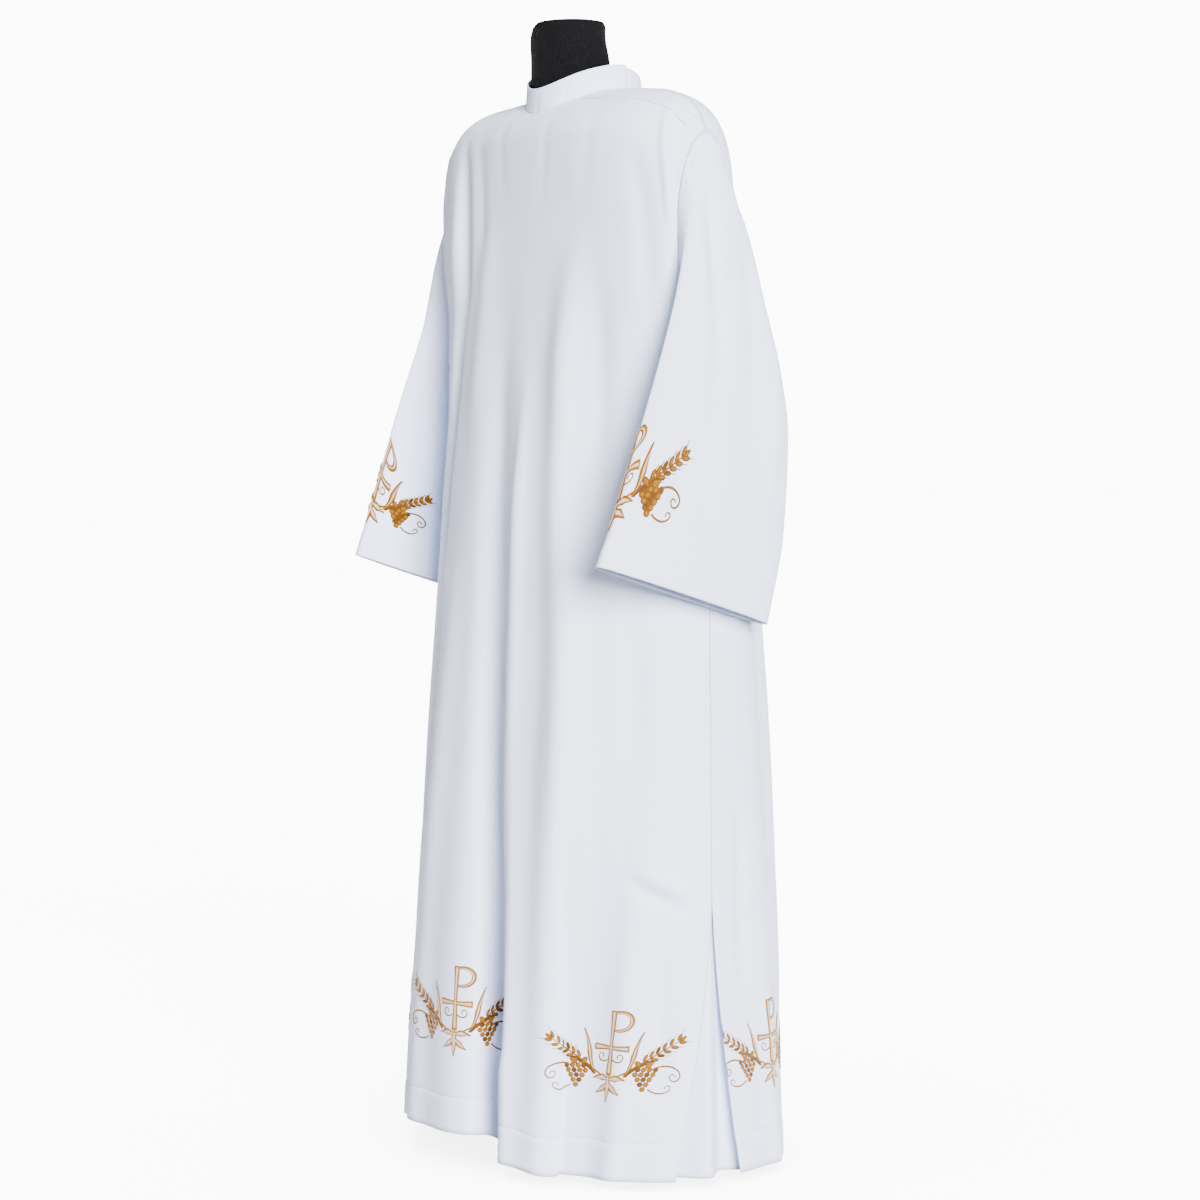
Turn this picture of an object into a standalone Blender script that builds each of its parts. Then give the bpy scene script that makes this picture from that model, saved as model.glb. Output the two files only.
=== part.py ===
# Alb robe hanging on a limbless dress form.
# Metres, +Z up. The garment's front faces -Y and the wearer's left is +X.
# The origin is the centre of the base plate's underside.
from collections import namedtuple
from math import cos
from math import pi
from math import radians
from math import sin

import bpy
import numpy as np

# Cloth
WALL = 0.0015
HEM_WALL = 0.0026
SEAM_GAP = 0.0004
HEM_Z = 0.012
HEM_DEPTH = 0.050
UNDERARM_Z = 1.10
NECK_RADIUS_X = 0.074
NECK_RADIUS_Y = 0.084
NECK_CENTRE_Y = -0.010
NECK_SIDE_Z = 1.468
SHOULDER_ROUND = 0.07
RIGHT_SHOULDER_FORWARD = 0.0125
SHIFT_FROM_X = 0.09
SHIFT_FULL_X = 0.24
SHIFT_FROM_Z = 1.15
SHIFT_FULL_Z = 1.28
COLLAR_HEIGHT = 0.034
COLLAR_LEAN = 0.002
COLLAR_WALL = 0.0018
COLLAR_SLIT = 0.014
PLACKET_WALL = 0.0014
PLEAT_TOP_Z = 0.385
PLEAT_OPENING = 0.050
PLEAT_FLARE = 1.4
PLEAT_UNDERLAY = 0.022
PLEAT_UNDERLAY_GROWTH = 3.0
PLEAT_MARGIN = 0.004
PLEAT_DIP = 0.024
PLEAT_LIFT = 0.020
LEFT_PLEAT_BEHIND = 0.0032
RIGHT_PLEAT_BEHIND = 0.0012
HEM_LIFT_TOP_Z = 0.330
FOLD_SHARPNESS = 4.0
FOLD_EDGE_SHARPNESS = 60.0
FOLDS_FADE_FROM = 0.86
ARMHOLE_PULL_POWER = 3
SLEEVE_BLUNTNESS = 0.4
SLEEVE_BLUNT_FROM = 0.25
CUFF_HEM_SHARE = 0.933

# Dress form and stand
FORM_BOTTOM_Z = 0.78
POLE_RADIUS = 0.016
BASE_RADIUS = 0.130
BASE_THICKNESS = 0.010
EDGE_ROUND = 0.002
STAND_GAP = 0.0003

# Colours
CLOTH_COLOUR = (0.86, 0.86, 0.89)
JERSEY_COLOUR = (0.012, 0.012, 0.014)
METAL_COLOUR = (0.02, 0.02, 0.02)

# Grid counts, and how finely the curves are measured and searched
PANEL_COLUMNS = 36
NECK_COLUMNS = 8
SLEEVE_AROUND = 28
FORM_AROUND = 32
ROUND_SIDES = 40
RING_SAMPLES = 240
SEARCH_STEPS = 40

# Horizontal sections of the body of the alb: half the width across, the depth of
# the front and of the back from the side seams, and how square the section is on
# the front's right half, on its left half and on the back. 2 is an ellipse.
Section = namedtuple("Section", "z centre_x half_width front back right_power left_power back_power")
BODY = (
    Section(0.012, -0.020, 0.285, 0.215, 0.250, 2.3, 1.6, 2.5),
    Section(0.150, -0.019, 0.283, 0.211, 0.244, 2.2, 1.6, 2.5),
    Section(0.330, -0.016, 0.279, 0.203, 0.235, 2.1, 1.7, 2.5),
    Section(0.560, -0.010, 0.270, 0.190, 0.216, 2.1, 1.8, 2.5),
    Section(0.760, -0.004, 0.262, 0.175, 0.190, 2.1, 2.0, 2.5),
    Section(0.900, 0.000, 0.257, 0.166, 0.172, 2.1, 2.1, 2.4),
    Section(1.020, 0.000, 0.256, 0.150, 0.152, 2.1, 2.1, 2.3),
    Section(1.100, 0.000, 0.265, 0.138, 0.138, 2.1, 2.1, 2.2),
    Section(1.180, 0.000, 0.265, 0.124, 0.122, 2.2, 2.1, 2.1),
    Section(1.300, 0.000, 0.264, 0.114, 0.108, 2.4, 2.1, 2.1),
    Section(1.480, 0.000, 0.264, 0.112, 0.104, 2.4, 2.1, 2.1),
)

# The shoulder line, from the neck outwards to the dropped armhole, and how much
# higher the cloth stands over the wearer's right shoulder.
Ridge = namedtuple("Ridge", "x z right_rise")
SHOULDER = (
    Ridge(0.000, NECK_SIDE_Z, 0.000),
    Ridge(0.074, NECK_SIDE_Z, 0.000),
    Ridge(0.115, 1.466, 0.000),
    Ridge(0.165, 1.461, 0.001),
    Ridge(0.205, 1.449, 0.005),
    Ridge(0.235, 1.427, 0.009),
    Ridge(0.250, 1.398, 0.000),
)

# How far the hem is lifted at a place, from -1 at the right side seam to 1 at the left.
Lift = namedtuple("Lift", "place rise")
FRONT_LIFT = (
    Lift(-1.00, 0.020),
    Lift(-0.60, 0.028),
    Lift(-0.35, 0.037),
    Lift(-0.10, 0.036),
    Lift(0.05, 0.035),
    Lift(0.16, 0.013),
    Lift(0.30, 0.006),
    Lift(0.45, 0.000),
    Lift(1.00, 0.000),
)
BACK_LIFT = (
    Lift(-1.00, 0.020),
    Lift(-0.30, 0.000),
    Lift(1.00, 0.000),
)

# Sleeve sections: the middle of the outer side, the forward fold, the underarm line
# and the rear fold, for the left sleeve. The first is the armhole itself.
Loop = namedtuple("Loop", "along ox oy oz fx fy fz ux uy uz rx ry rz")
SLEEVE = (
    Loop(0.00, 0.250, 0.000, 1.398, 0.250, -0.050, 1.262, 0.265, 0.000, 1.100, 0.250, 0.046, 1.262),
    Loop(0.18, 0.276, 0.002, 1.298, 0.269, -0.062, 1.200, 0.2672, -0.002, 1.065, 0.270, 0.060, 1.190),
    Loop(0.38, 0.292, 0.002, 1.165, 0.277, -0.096, 1.112, 0.2676, -0.006, 1.005, 0.279, 0.083, 1.100),
    Loop(0.60, 0.298, -0.010, 1.040, 0.279, -0.135, 1.014, 0.2680, -0.018, 0.935, 0.283, 0.110, 0.985),
    Loop(0.80, 0.299, -0.034, 0.915, 0.279, -0.170, 0.922, 0.2684, -0.040, 0.868, 0.284, 0.102, 0.865),
    Loop(1.00, 0.297, -0.064, 0.792, 0.276, -0.205, 0.833, 0.2686, -0.064, 0.790, 0.281, 0.077, 0.750),
)

# Soft folds of the front and back. place runs from -1 at the right side seam over 0
# at the middle to 1 at the left side seam, at the hem and at the fold's top. A fold
# with an edge rises at once on the wearer's left of it instead of rolling away.
Fold = namedtuple("Fold", "place_low place_high width depth bottom top edge")
FRONT_FOLDS = (
    Fold(0.158, 0.100, 0.280, -0.062, 0.012, 1.150, 1),
    Fold(0.520, 0.480, 0.460, -0.026, 0.012, 0.700, 0),
    Fold(-0.330, -0.200, 0.140, 0.010, 0.012, 1.050, 0),
    Fold(-0.620, -0.480, 0.120, -0.010, 0.012, 0.900, 0),
    Fold(0.480, 0.400, 0.090, -0.008, 0.012, 0.700, 0),
    Fold(0.720, 0.640, 0.120, 0.009, 0.012, 0.800, 0),
    Fold(-0.820, -0.800, 0.090, 0.008, 0.012, 0.700, 0),
)
BACK_FOLDS = (
    Fold(0.020, 0.000, 0.120, -0.018, 0.012, 1.100, 0),
    Fold(0.300, 0.220, 0.120, 0.012, 0.012, 1.100, 0),
    Fold(-0.300, -0.230, 0.120, 0.012, 0.012, 1.000, 0),
    Fold(0.560, 0.460, 0.110, -0.014, 0.012, 0.900, 0),
    Fold(-0.580, -0.480, 0.110, -0.012, 0.012, 0.900, 0),
    Fold(0.780, 0.760, 0.100, 0.008, 0.012, 0.600, 0),
    Fold(-0.780, -0.760, 0.100, 0.009, 0.012, 0.600, 0),
)

# Heights of the panel rows below the armholes, and above them as a share of the way
# from the underarm to the shoulder line.
LOW_ROWS = (0.012, 0.062, 0.066, 0.125, 0.195, 0.265, 0.330, 0.385, 0.450,
            0.550, 0.660, 0.770, 0.870, 0.960, 1.040, 1.100)
HIGH_ROWS = (0.160, 0.340, 0.515, 0.700, 0.850, 0.950, 0.985, 1.000)
PLACKET_ROWS = 3

# Sleeve rows as a share of the way from the armhole to the cuff, and heights of the
# side pleats' rows.
SLEEVE_ROWS = (0.0, 0.045, 0.10, 0.18, 0.27, 0.36, 0.46, 0.56, 0.66, 0.76, 0.86, 0.930, 0.936, 1.0)
PLEAT_ROWS = (0.012, 0.062, 0.066, 0.125, 0.195, 0.265, 0.330, 0.368)
PLEAT_COLUMNS = 12
COLLAR_ROWS = (0.0, 0.5, 1.0)

# Horizontal sections of the dress form.
Ring = namedtuple("Ring", "z centre_y half_width half_depth power")
FORM = (
    Ring(0.780, 0.010, 0.150, 0.104, 2.2),
    Ring(0.785, 0.010, 0.156, 0.110, 2.2),
    Ring(0.870, 0.008, 0.166, 0.116, 2.2),
    Ring(0.970, 0.004, 0.152, 0.108, 2.2),
    Ring(1.060, 0.000, 0.130, 0.094, 2.2),
    Ring(1.140, 0.000, 0.136, 0.096, 2.2),
    Ring(1.220, 0.002, 0.152, 0.100, 2.2),
    Ring(1.300, 0.002, 0.164, 0.100, 2.2),
    Ring(1.360, 0.002, 0.176, 0.096, 2.2),
    Ring(1.400, 0.000, 0.186, 0.086, 2.2),
    Ring(1.425, -0.002, 0.190, 0.068, 2.1),
    Ring(1.442, -0.004, 0.184, 0.050, 2.0),
)
FORM_NECK = (
    Ring(1.472, -0.033, 0.0575, 0.0535, 2.0),
    Ring(1.510, -0.034, 0.0565, 0.0525, 2.0),
    Ring(1.545, -0.038, 0.0540, 0.0500, 2.0),
    Ring(1.558, -0.036, 0.0525, 0.0488, 2.0),
    Ring(1.565, -0.034, 0.0480, 0.0448, 2.0),
)
NECK_JOIN_LOW_Z = 1.430
NECK_JOIN_HIGH_Z = 1.470
FORM_SHOULDER_Y = -0.006
FORM_BELOW_CLOTH = 0.0020

# The dress form's shoulders: half the width across and half the depth of each ring,
# which lies under the shoulder line at that width.
ShoulderRing = namedtuple("ShoulderRing", "half_width half_depth")
FORM_SHOULDERS = (
    ShoulderRing(0.165, 0.032),
    ShoulderRing(0.140, 0.020),
    ShoulderRing(0.110, 0.007),
    ShoulderRing(0.085, 0.003),
)


def hermite(places, values):
    """A smooth curve through the values, without overshoot."""
    places = np.asarray(places, dtype=float)
    values = np.asarray(values, dtype=float)
    steps = np.diff(places)
    rises = np.diff(values) / steps
    slopes = np.zeros(len(values))
    slopes[0] = rises[0]
    slopes[-1] = rises[-1]
    for i in range(1, len(values) - 1):
        if rises[i - 1] * rises[i] > 0.0:
            slopes[i] = 2.0 * rises[i - 1] * rises[i] / (rises[i - 1] + rises[i])

    def at(place):
        place = min(max(place, places[0]), places[-1])
        i = int(np.searchsorted(places, place, side="right")) - 1
        i = min(i, len(steps) - 1)
        u = (place - places[i]) / steps[i]
        rise = values[i + 1] - values[i]
        first = slopes[i] * steps[i]
        last = slopes[i + 1] * steps[i]
        bend = 3.0 * rise - 2.0 * first - last
        twist = first + last - 2.0 * rise
        return values[i] + u * (first + u * (bend + u * twist))

    return at


def columns(rows, key):
    """One smooth curve for each named column of a table."""
    places = [getattr(row, key) for row in rows]
    curves = {}
    for name in rows[0]._fields:
        curves[name] = hermite(places, [getattr(row, name) for row in rows])
    return curves


BODY_AT = columns(BODY, "z")
SHOULDER_AT = columns(SHOULDER, "x")
SLEEVE_AT = columns(SLEEVE, "along")
FRONT_LIFT_AT = columns(FRONT_LIFT, "place")
BACK_LIFT_AT = columns(BACK_LIFT, "place")


def smooth(low, high, value):
    """0 below low, 1 above high, and an even curve between."""
    share = min(max((value - low) / (high - low), 0.0), 1.0)
    return share * share * (3.0 - 2.0 * share)


def carried_forward(point):
    """The wearer's right shoulder is carried a little forward, cloth and form alike."""
    x, y, z = point
    reach = smooth(SHIFT_FROM_X, SHIFT_FULL_X, -x) * smooth(SHIFT_FROM_Z, SHIFT_FULL_Z, z)
    return np.array((x, y - RIGHT_SHOULDER_FORWARD * reach, z))


def pleat_share(z):
    """How far the side pleat has opened at a height: 0 at its top, 1 at the hem."""
    return min(max((PLEAT_TOP_Z - z) / (PLEAT_TOP_Z - HEM_Z), 0.0), 1.0) ** PLEAT_FLARE


def pleat_half_opening(z):
    """Half the distance between the two fold edges of a side pleat."""
    return 0.5 * SEAM_GAP + PLEAT_OPENING * pleat_share(z)


def shoulder_height(x):
    """Height of the shoulder line at a distance across."""
    height = SHOULDER_AT["z"](abs(x))
    if x < 0.0:
        height += SHOULDER_AT["right_rise"](abs(x))
    return height


def hem_lift(place, z, face):
    """How far a point is raised because the hem hangs higher there."""
    rise = FRONT_LIFT_AT["rise"](place) if face < 0 else BACK_LIFT_AT["rise"](place)
    return rise * smooth(HEM_LIFT_TOP_Z, HEM_Z, z)


def depth_of(z, face):
    """Depth of the front (face -1) or of the back (face 1) at a height."""
    if face < 0:
        return BODY_AT["front"](z)
    return BODY_AT["back"](z)


def power_of(x, z, face):
    """How square the section is at a height, on one side of one panel."""
    if face > 0:
        return BODY_AT["back_power"](z)
    if x < 0.0:
        return BODY_AT["right_power"](z)
    return BODY_AT["left_power"](z)


def outline(x, z, face):
    """The body's y at a place across and up, before folds."""
    half = BODY_AT["half_width"](z)
    power = power_of(x, z, face)
    across = min(abs(x) / half, 1.0)
    plain = depth_of(z, face) * (1.0 - across ** power) ** (1.0 / power)
    drop = min(max(shoulder_height(x) - z, 0.0) / SHOULDER_ROUND, 1.0)
    rounding = (1.0 - (1.0 - drop) ** 2) ** 0.5
    middle = NECK_CENTRE_Y * (1.0 - min(abs(x) / SHOULDER[-1].x, 1.0))
    return middle * (1.0 - rounding) + face * plain * rounding


def ring_x(z, place, face):
    """Distance across of a place on a body section, even along the cloth."""
    half = BODY_AT["half_width"](z)
    power = power_of(place, z, face)
    depth = depth_of(z, face)
    end = (pleat_half_opening(z) / depth) ** (power / 2.0)
    angles = np.linspace(0.0, np.arccos(end), RING_SAMPLES)
    xs = half * np.sin(angles) ** (2.0 / power)
    ys = depth * np.cos(angles) ** (2.0 / power)
    lengths = np.concatenate(([0.0], np.cumsum(np.hypot(np.diff(xs), np.diff(ys)))))
    return float(np.interp(abs(place) * lengths[-1], lengths, xs)) * np.sign(place)


def low_point(place, z, face):
    """A point of the body below the armholes."""
    x = ring_x(z, place, face)
    y = outline(x, z, face)
    least = pleat_half_opening(z)
    if abs(y) < least:
        y = face * least
    return np.array((x + BODY_AT["centre_x"](z), y, z + hem_lift(place, z, face)))


def neck_edge(angle):
    """The neckline at an angle from the middle front towards the wearer's left."""
    x = NECK_RADIUS_X * sin(angle)
    y = NECK_CENTRE_Y - NECK_RADIUS_Y * cos(angle)
    face = -1 if cos(angle) >= 0.0 else 1
    low = UNDERARM_Z
    high = NECK_SIDE_Z
    for _ in range(SEARCH_STEPS):
        z = 0.5 * (low + high)
        if face * (outline(x, z, face) - y) > 0.0:
            low = z
        else:
            high = z
    return np.array((x, y, z))


def top_point(place, face):
    """The top edge of a panel: the shoulder line, then the neckline."""
    neck_share = NECK_COLUMNS * 2.0 / PANEL_COLUMNS
    if abs(place) <= neck_share + 1e-9:
        turn = 0.5 * pi * place / neck_share
        angle = turn if face < 0 else pi - turn
        point = neck_edge(angle)
    else:
        share = (abs(place) - neck_share) / (1.0 - neck_share)
        x = np.sign(place) * (NECK_RADIUS_X + share * (SHOULDER[-1].x - NECK_RADIUS_X))
        z = shoulder_height(x)
        point = np.array((x, outline(x, z, face), z))
    if abs(place) >= neck_share - 1e-9:
        point[1] += face * 0.5 * SEAM_GAP
    return point


def loop_point(along, angle, side):
    """A point of the sleeve: 0 outer side, 90 forward fold, 180 underarm, 270 rear."""
    value = {name: curve(along) for name, curve in SLEEVE_AT.items()}
    outer = np.array((value["ox"], value["oy"], value["oz"]))
    front = np.array((value["fx"], value["fy"], value["fz"]))
    under = np.array((value["ux"], value["uy"], value["uz"]))
    rear = np.array((value["rx"], value["ry"], value["rz"]))
    sideways = sin(angle)
    blunt = 1.0 - SLEEVE_BLUNTNESS * smooth(0.0, SLEEVE_BLUNT_FROM, along)
    across = np.sign(cos(angle)) * abs(cos(angle)) ** blunt
    point = 0.5 * (outer + under) + 0.5 * (outer - under) * across
    point = point + 0.5 * (front - rear) * sideways
    point = point + (0.5 * (front + rear) - 0.5 * (outer + under)) * sideways ** 2
    point[0] *= side
    return point


def armhole_angle(share):
    """The sleeve angle of a panel's armhole edge, from the underarm to the shoulder."""
    return pi * (1.0 - share)


def high_point(place, share, face):
    """A point of a panel between the underarm level and the top edge."""
    side = 1.0 if place >= 0.0 else -1.0
    turn = armhole_angle(share)
    armhole = loop_point(0.0, turn if face < 0 else -turn, side)
    top = top_point(place, face)
    rise = (armhole[2] - UNDERARM_Z) / (SHOULDER[-1].z - UNDERARM_Z)
    z = UNDERARM_Z + (top[2] - UNDERARM_Z) * rise
    if share >= 1.0:
        return top
    low_x = ring_x(UNDERARM_Z, place, face)
    blend = 0.5 * smooth(0.0, 1.0, rise) + 0.5 * rise
    x = low_x + (top[0] - low_x) * blend
    y = outline(x, z, face)
    point = np.array((x, y, z))
    edge_x = ring_x(UNDERARM_Z, side, face)
    top_edge = SHOULDER[-1].x * side
    edge_x = edge_x + (top_edge - edge_x) * blend
    edge = np.array((edge_x, outline(edge_x, armhole[2], face), armhole[2]))
    armhole[1] += face * 0.5 * SEAM_GAP
    return point + (armhole - edge) * abs(place) ** ARMHOLE_PULL_POWER


def rows_as_angles():
    """Armhole shares whose heights match the listed rows."""
    shares = []
    for level in HIGH_ROWS:
        wanted = UNDERARM_Z + level * (SHOULDER[-1].z - UNDERARM_Z)
        low = 0.0
        high = 1.0
        for _ in range(SEARCH_STEPS):
            share = 0.5 * (low + high)
            if loop_point(0.0, armhole_angle(share), 1.0)[2] < wanted:
                low = share
            else:
                high = share
        shares.append(1.0 if level >= 1.0 else share)
    return shares


def fold_height(place, z, folds):
    """How far the folds lift the cloth at a place, in metres."""
    total = 0.0
    for fold in folds:
        reach = smooth(fold.top, fold.bottom, z) if z > fold.bottom else 1.0
        share = (z - fold.bottom) / (fold.top - fold.bottom)
        middle = fold.place_low + (fold.place_high - fold.place_low) * min(max(share, 0.0), 1.0)
        away = (place - middle) / fold.width
        sharpness = FOLD_SHARPNESS
        if fold.edge and away > 0.0:
            sharpness = FOLD_EDGE_SHARPNESS
        total += fold.depth * reach * np.exp(-away * away * sharpness)
    return total * (1.0 - smooth(FOLDS_FADE_FROM, 1.0, abs(place)))


def grid_normals(points, ring=False):
    """Outward unit normals of a grid of rows and columns."""
    along = np.gradient(points, axis=0)
    if ring:
        across = 0.5 * (np.roll(points, -1, axis=1) - np.roll(points, 1, axis=1))
    else:
        across = np.gradient(points, axis=1)
    normals = np.cross(across, along)
    return normals / np.linalg.norm(normals, axis=2, keepdims=True)


def grid_faces(rows, cols, ring, start, flip):
    """Triangles of a grid whose vertices begin at an index."""
    faces = []
    last = cols if ring else cols - 1
    for i in range(rows - 1):
        for j in range(last):
            k = (j + 1) % cols
            a = start + i * cols + j
            b = start + i * cols + k
            c = b + cols
            d = a + cols
            for face in ((a, b, c), (a, c, d)):
                faces.append(face[::-1] if flip else face)
    return faces


def edge_faces(rows, cols, ring):
    """Quads that close the wall between its outer and inner grids."""
    inner = rows * cols
    faces = []
    last = cols if ring else cols - 1
    for j in range(last):
        k = (j + 1) % cols
        faces.append((k, j, inner + j, inner + k))
        top = (rows - 1) * cols
        faces.append((top + j, top + k, inner + top + k, inner + top + j))
    if not ring:
        for i in range(rows - 1):
            here = i * cols
            above = here + cols
            faces.append((here, above, inner + above, inner + here))
            end = cols - 1
            faces.append((above + end, here + end, inner + here + end, inner + above + end))
    return faces


def make_object(name, vertices, faces, colour, roughness, smooth_angle=40.0):
    """One named mesh object with its own material."""
    mesh = bpy.data.meshes.new(name)
    mesh.from_pydata([tuple(v) for v in vertices], [], faces)
    mesh.validate()
    mesh.update()
    mesh.shade_smooth()
    mesh.set_sharp_from_angle(angle=radians(smooth_angle))
    obj = bpy.data.objects.new(name, mesh)
    bpy.context.scene.collection.objects.link(obj)
    material = bpy.data.materials.new(name)
    material.use_nodes = True
    shader = material.node_tree.nodes["Principled BSDF"]
    shader.inputs["Base Color"].default_value = (*colour, 1.0)
    shader.inputs["Roughness"].default_value = roughness
    mesh.materials.append(material)
    return obj


def wall(name, points, normals, thickness, ring=False, outward=True):
    """A closed wall of cloth from its outer points and a thickness for each row."""
    rows, cols = points.shape[:2]
    inner = points - normals * thickness[:, None, None]
    vertices = np.concatenate((points.reshape(-1, 3), inner.reshape(-1, 3)))
    faces = grid_faces(rows, cols, ring, 0, False)
    faces += grid_faces(rows, cols, ring, rows * cols, True)
    faces += edge_faces(rows, cols, ring)
    if not outward:
        faces = [face[::-1] for face in faces]
    return make_object(name, vertices, faces, CLOTH_COLOUR, 0.75)


def flatten(normals, keep):
    """Turn normals into a seam plane, so that two walls meet edge to edge."""
    normals = normals * np.array(keep)
    return normals / np.linalg.norm(normals, axis=-1, keepdims=True)


def panel_grid(face, folds):
    """Outer points and normals of the front (face -1) or the back (face 1)."""
    places = np.linspace(-1.0, 1.0, PANEL_COLUMNS + 1)
    rows = [[low_point(p, z, face) for p in places] for z in LOW_ROWS]
    rows += [[high_point(p, share, face) for p in places] for share in rows_as_angles()]
    points = np.array(rows)
    normals = grid_normals(points) * -face
    for i in range(points.shape[0]):
        for j, place in enumerate(places):
            points[i, j] += normals[i, j] * fold_height(place, points[i, j][2], folds)
            points[i, j] = carried_forward(points[i, j])
    normals = grid_normals(points) * -face
    seam_rows = len(LOW_ROWS)
    normals[:seam_rows, 0] = flatten(normals[:seam_rows, 0], (1.0, 0.0, 1.0))
    normals[:seam_rows, -1] = flatten(normals[:seam_rows, -1], (1.0, 0.0, 1.0))
    neck = PANEL_COLUMNS // 2 - NECK_COLUMNS
    normals[-1, :neck + 1] = flatten(normals[-1, :neck + 1], (1.0, 0.0, 1.0))
    normals[-1, -neck - 1:] = flatten(normals[-1, -neck - 1:], (1.0, 0.0, 1.0))
    return points, normals


def hem_thickness(heights):
    """A thicker wall where the hem is turned up."""
    return np.where(np.array(heights) <= HEM_Z + HEM_DEPTH, HEM_WALL, WALL)


def build_panels():
    """The front, the back and the placket that lies on the front."""
    front, front_normals = panel_grid(-1, FRONT_FOLDS)
    thickness = np.concatenate((hem_thickness(LOW_ROWS), np.full(len(HIGH_ROWS), WALL)))
    wall("alb_front", front, front_normals, thickness)
    back, back_normals = panel_grid(1, BACK_FOLDS)
    wall("alb_back", back, back_normals, thickness, outward=False)
    first = PANEL_COLUMNS // 2 + NECK_COLUMNS
    normals = front_normals[-PLACKET_ROWS:, first:-1]
    strip = front[-PLACKET_ROWS:, first:-1] + normals * (SEAM_GAP + PLACKET_WALL)
    wall("shoulder_placket", strip, normals, np.full(PLACKET_ROWS, PLACKET_WALL))


def build_sleeve(name, side):
    """One sleeve, lofted from the armhole to the flattened cuff."""
    angles = np.arange(SLEEVE_AROUND) * 2.0 * pi / SLEEVE_AROUND
    rows = [[loop_point(share, angle, side) for angle in angles] for share in SLEEVE_ROWS]
    points = np.array(rows)
    points = np.apply_along_axis(carried_forward, 2, points)
    points[:, :, 0] += side * SEAM_GAP
    normals = grid_normals(points, ring=True) * side
    centre = points[0].mean(axis=0)
    radial = (points[0] - centre) * np.array((0.0, 1.0, 1.0))
    normals[0] = radial / np.linalg.norm(radial, axis=1, keepdims=True)
    thickness = np.where(np.array(SLEEVE_ROWS) > CUFF_HEM_SHARE, HEM_WALL, WALL)
    wall(name, points, normals, thickness, ring=True, outward=side > 0)


def build_collar():
    """The stand collar, open by a slit at the left shoulder."""
    step = 0.5 * pi / NECK_COLUMNS
    slit = 0.5 * pi + step
    angles = slit + step * np.arange(4 * NECK_COLUMNS + 1)
    angles[0] += COLLAR_SLIT
    angles[-1] -= COLLAR_SLIT
    base = np.array([neck_edge(angle) for angle in angles])
    out = np.array([(sin(angle), -cos(angle), 0.0) for angle in angles])
    rows = []
    for share in COLLAR_ROWS:
        ring = base + np.array((0.0, 0.0, SEAM_GAP + COLLAR_HEIGHT * share))
        rows.append(ring - out * COLLAR_LEAN * share)
    points = np.array(rows)
    normals = np.array([out] * len(COLLAR_ROWS))
    wall("collar_band", points, normals, np.full(len(COLLAR_ROWS), COLLAR_WALL))


def build_pleat(name, side):
    """The inset behind a side pleat, standing out in a ridge along its middle."""
    places = np.linspace(-1.0, 1.0, PLEAT_COLUMNS + 1)
    clear_of_hem = PLEAT_ROWS[2]
    rows = []
    for z in PLEAT_ROWS:
        behind = LEFT_PLEAT_BEHIND if side > 0.0 else RIGHT_PLEAT_BEHIND
        behind += HEM_WALL if z <= clear_of_hem else WALL
        share = pleat_share(z)
        underlay = PLEAT_UNDERLAY * min(share * PLEAT_UNDERLAY_GROWTH, 1.0)
        half = pleat_half_opening(z) + underlay + PLEAT_MARGIN
        lift = PLEAT_LIFT * smooth(HEM_LIFT_TOP_Z, HEM_Z, z) if side < 0.0 else 0.0
        row = []
        for place in places:
            y = place * half
            face = -1 if y < 0.0 else 1
            width = BODY_AT["half_width"](z)
            power = power_of(side, z, face)
            flat = width * (1.0 - (abs(y) / depth_of(z, face)) ** power) ** (1.0 / power)
            dip = PLEAT_DIP * share * sin(pi * abs(place)) ** 2
            x = side * (flat - behind - dip) + BODY_AT["centre_x"](z)
            row.append((x, y, z + lift))
        rows.append(row)
    points = np.array(rows)
    normals = grid_normals(points) * side
    wall(name, points, normals, hem_thickness(PLEAT_ROWS), outward=side > 0)


def form_rings():
    """Sections of the dress form's body, up to the line of its shoulders."""
    rings = list(FORM)
    for low in FORM_SHOULDERS:
        z = SHOULDER_AT["z"](low.half_width) - FORM_BELOW_CLOTH
        rings.append(Ring(z, FORM_SHOULDER_Y, low.half_width, low.half_depth, 2.0))
    return rings


def oval_reach(angle, ring):
    """Distance from the vertical axis to an oval, in one direction."""
    low = 0.0
    high = 0.5
    for _ in range(SEARCH_STEPS):
        reach = 0.5 * (low + high)
        x = abs(reach * cos(angle)) / ring.half_width
        y = abs(reach * sin(angle) - ring.centre_y) / ring.half_depth
        if x ** ring.power + y ** ring.power < 1.0:
            low = reach
        else:
            high = reach
    return low


def build_torso():
    """The dress form: body, shoulders and the neck that stands out of them."""
    rings = form_rings()
    rings += FORM_NECK
    angles = np.arange(FORM_AROUND) * 2.0 * pi / FORM_AROUND
    vertices = []
    for ring in rings:
        for angle in angles:
            reach = oval_reach(angle, ring)
            if NECK_JOIN_LOW_Z < ring.z < NECK_JOIN_HIGH_Z:
                reach = max(reach, oval_reach(angle, FORM_NECK[0]))
            vertices.append(carried_forward((reach * cos(angle), reach * sin(angle), ring.z)))
    faces = grid_faces(len(rings), FORM_AROUND, True, 0, False)
    faces.append(tuple(range(FORM_AROUND))[::-1])
    last = (len(rings) - 1) * FORM_AROUND
    faces.append(tuple(last + i for i in range(FORM_AROUND)))
    make_object("form_torso", vertices, faces, JERSEY_COLOUR, 0.85)


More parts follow.
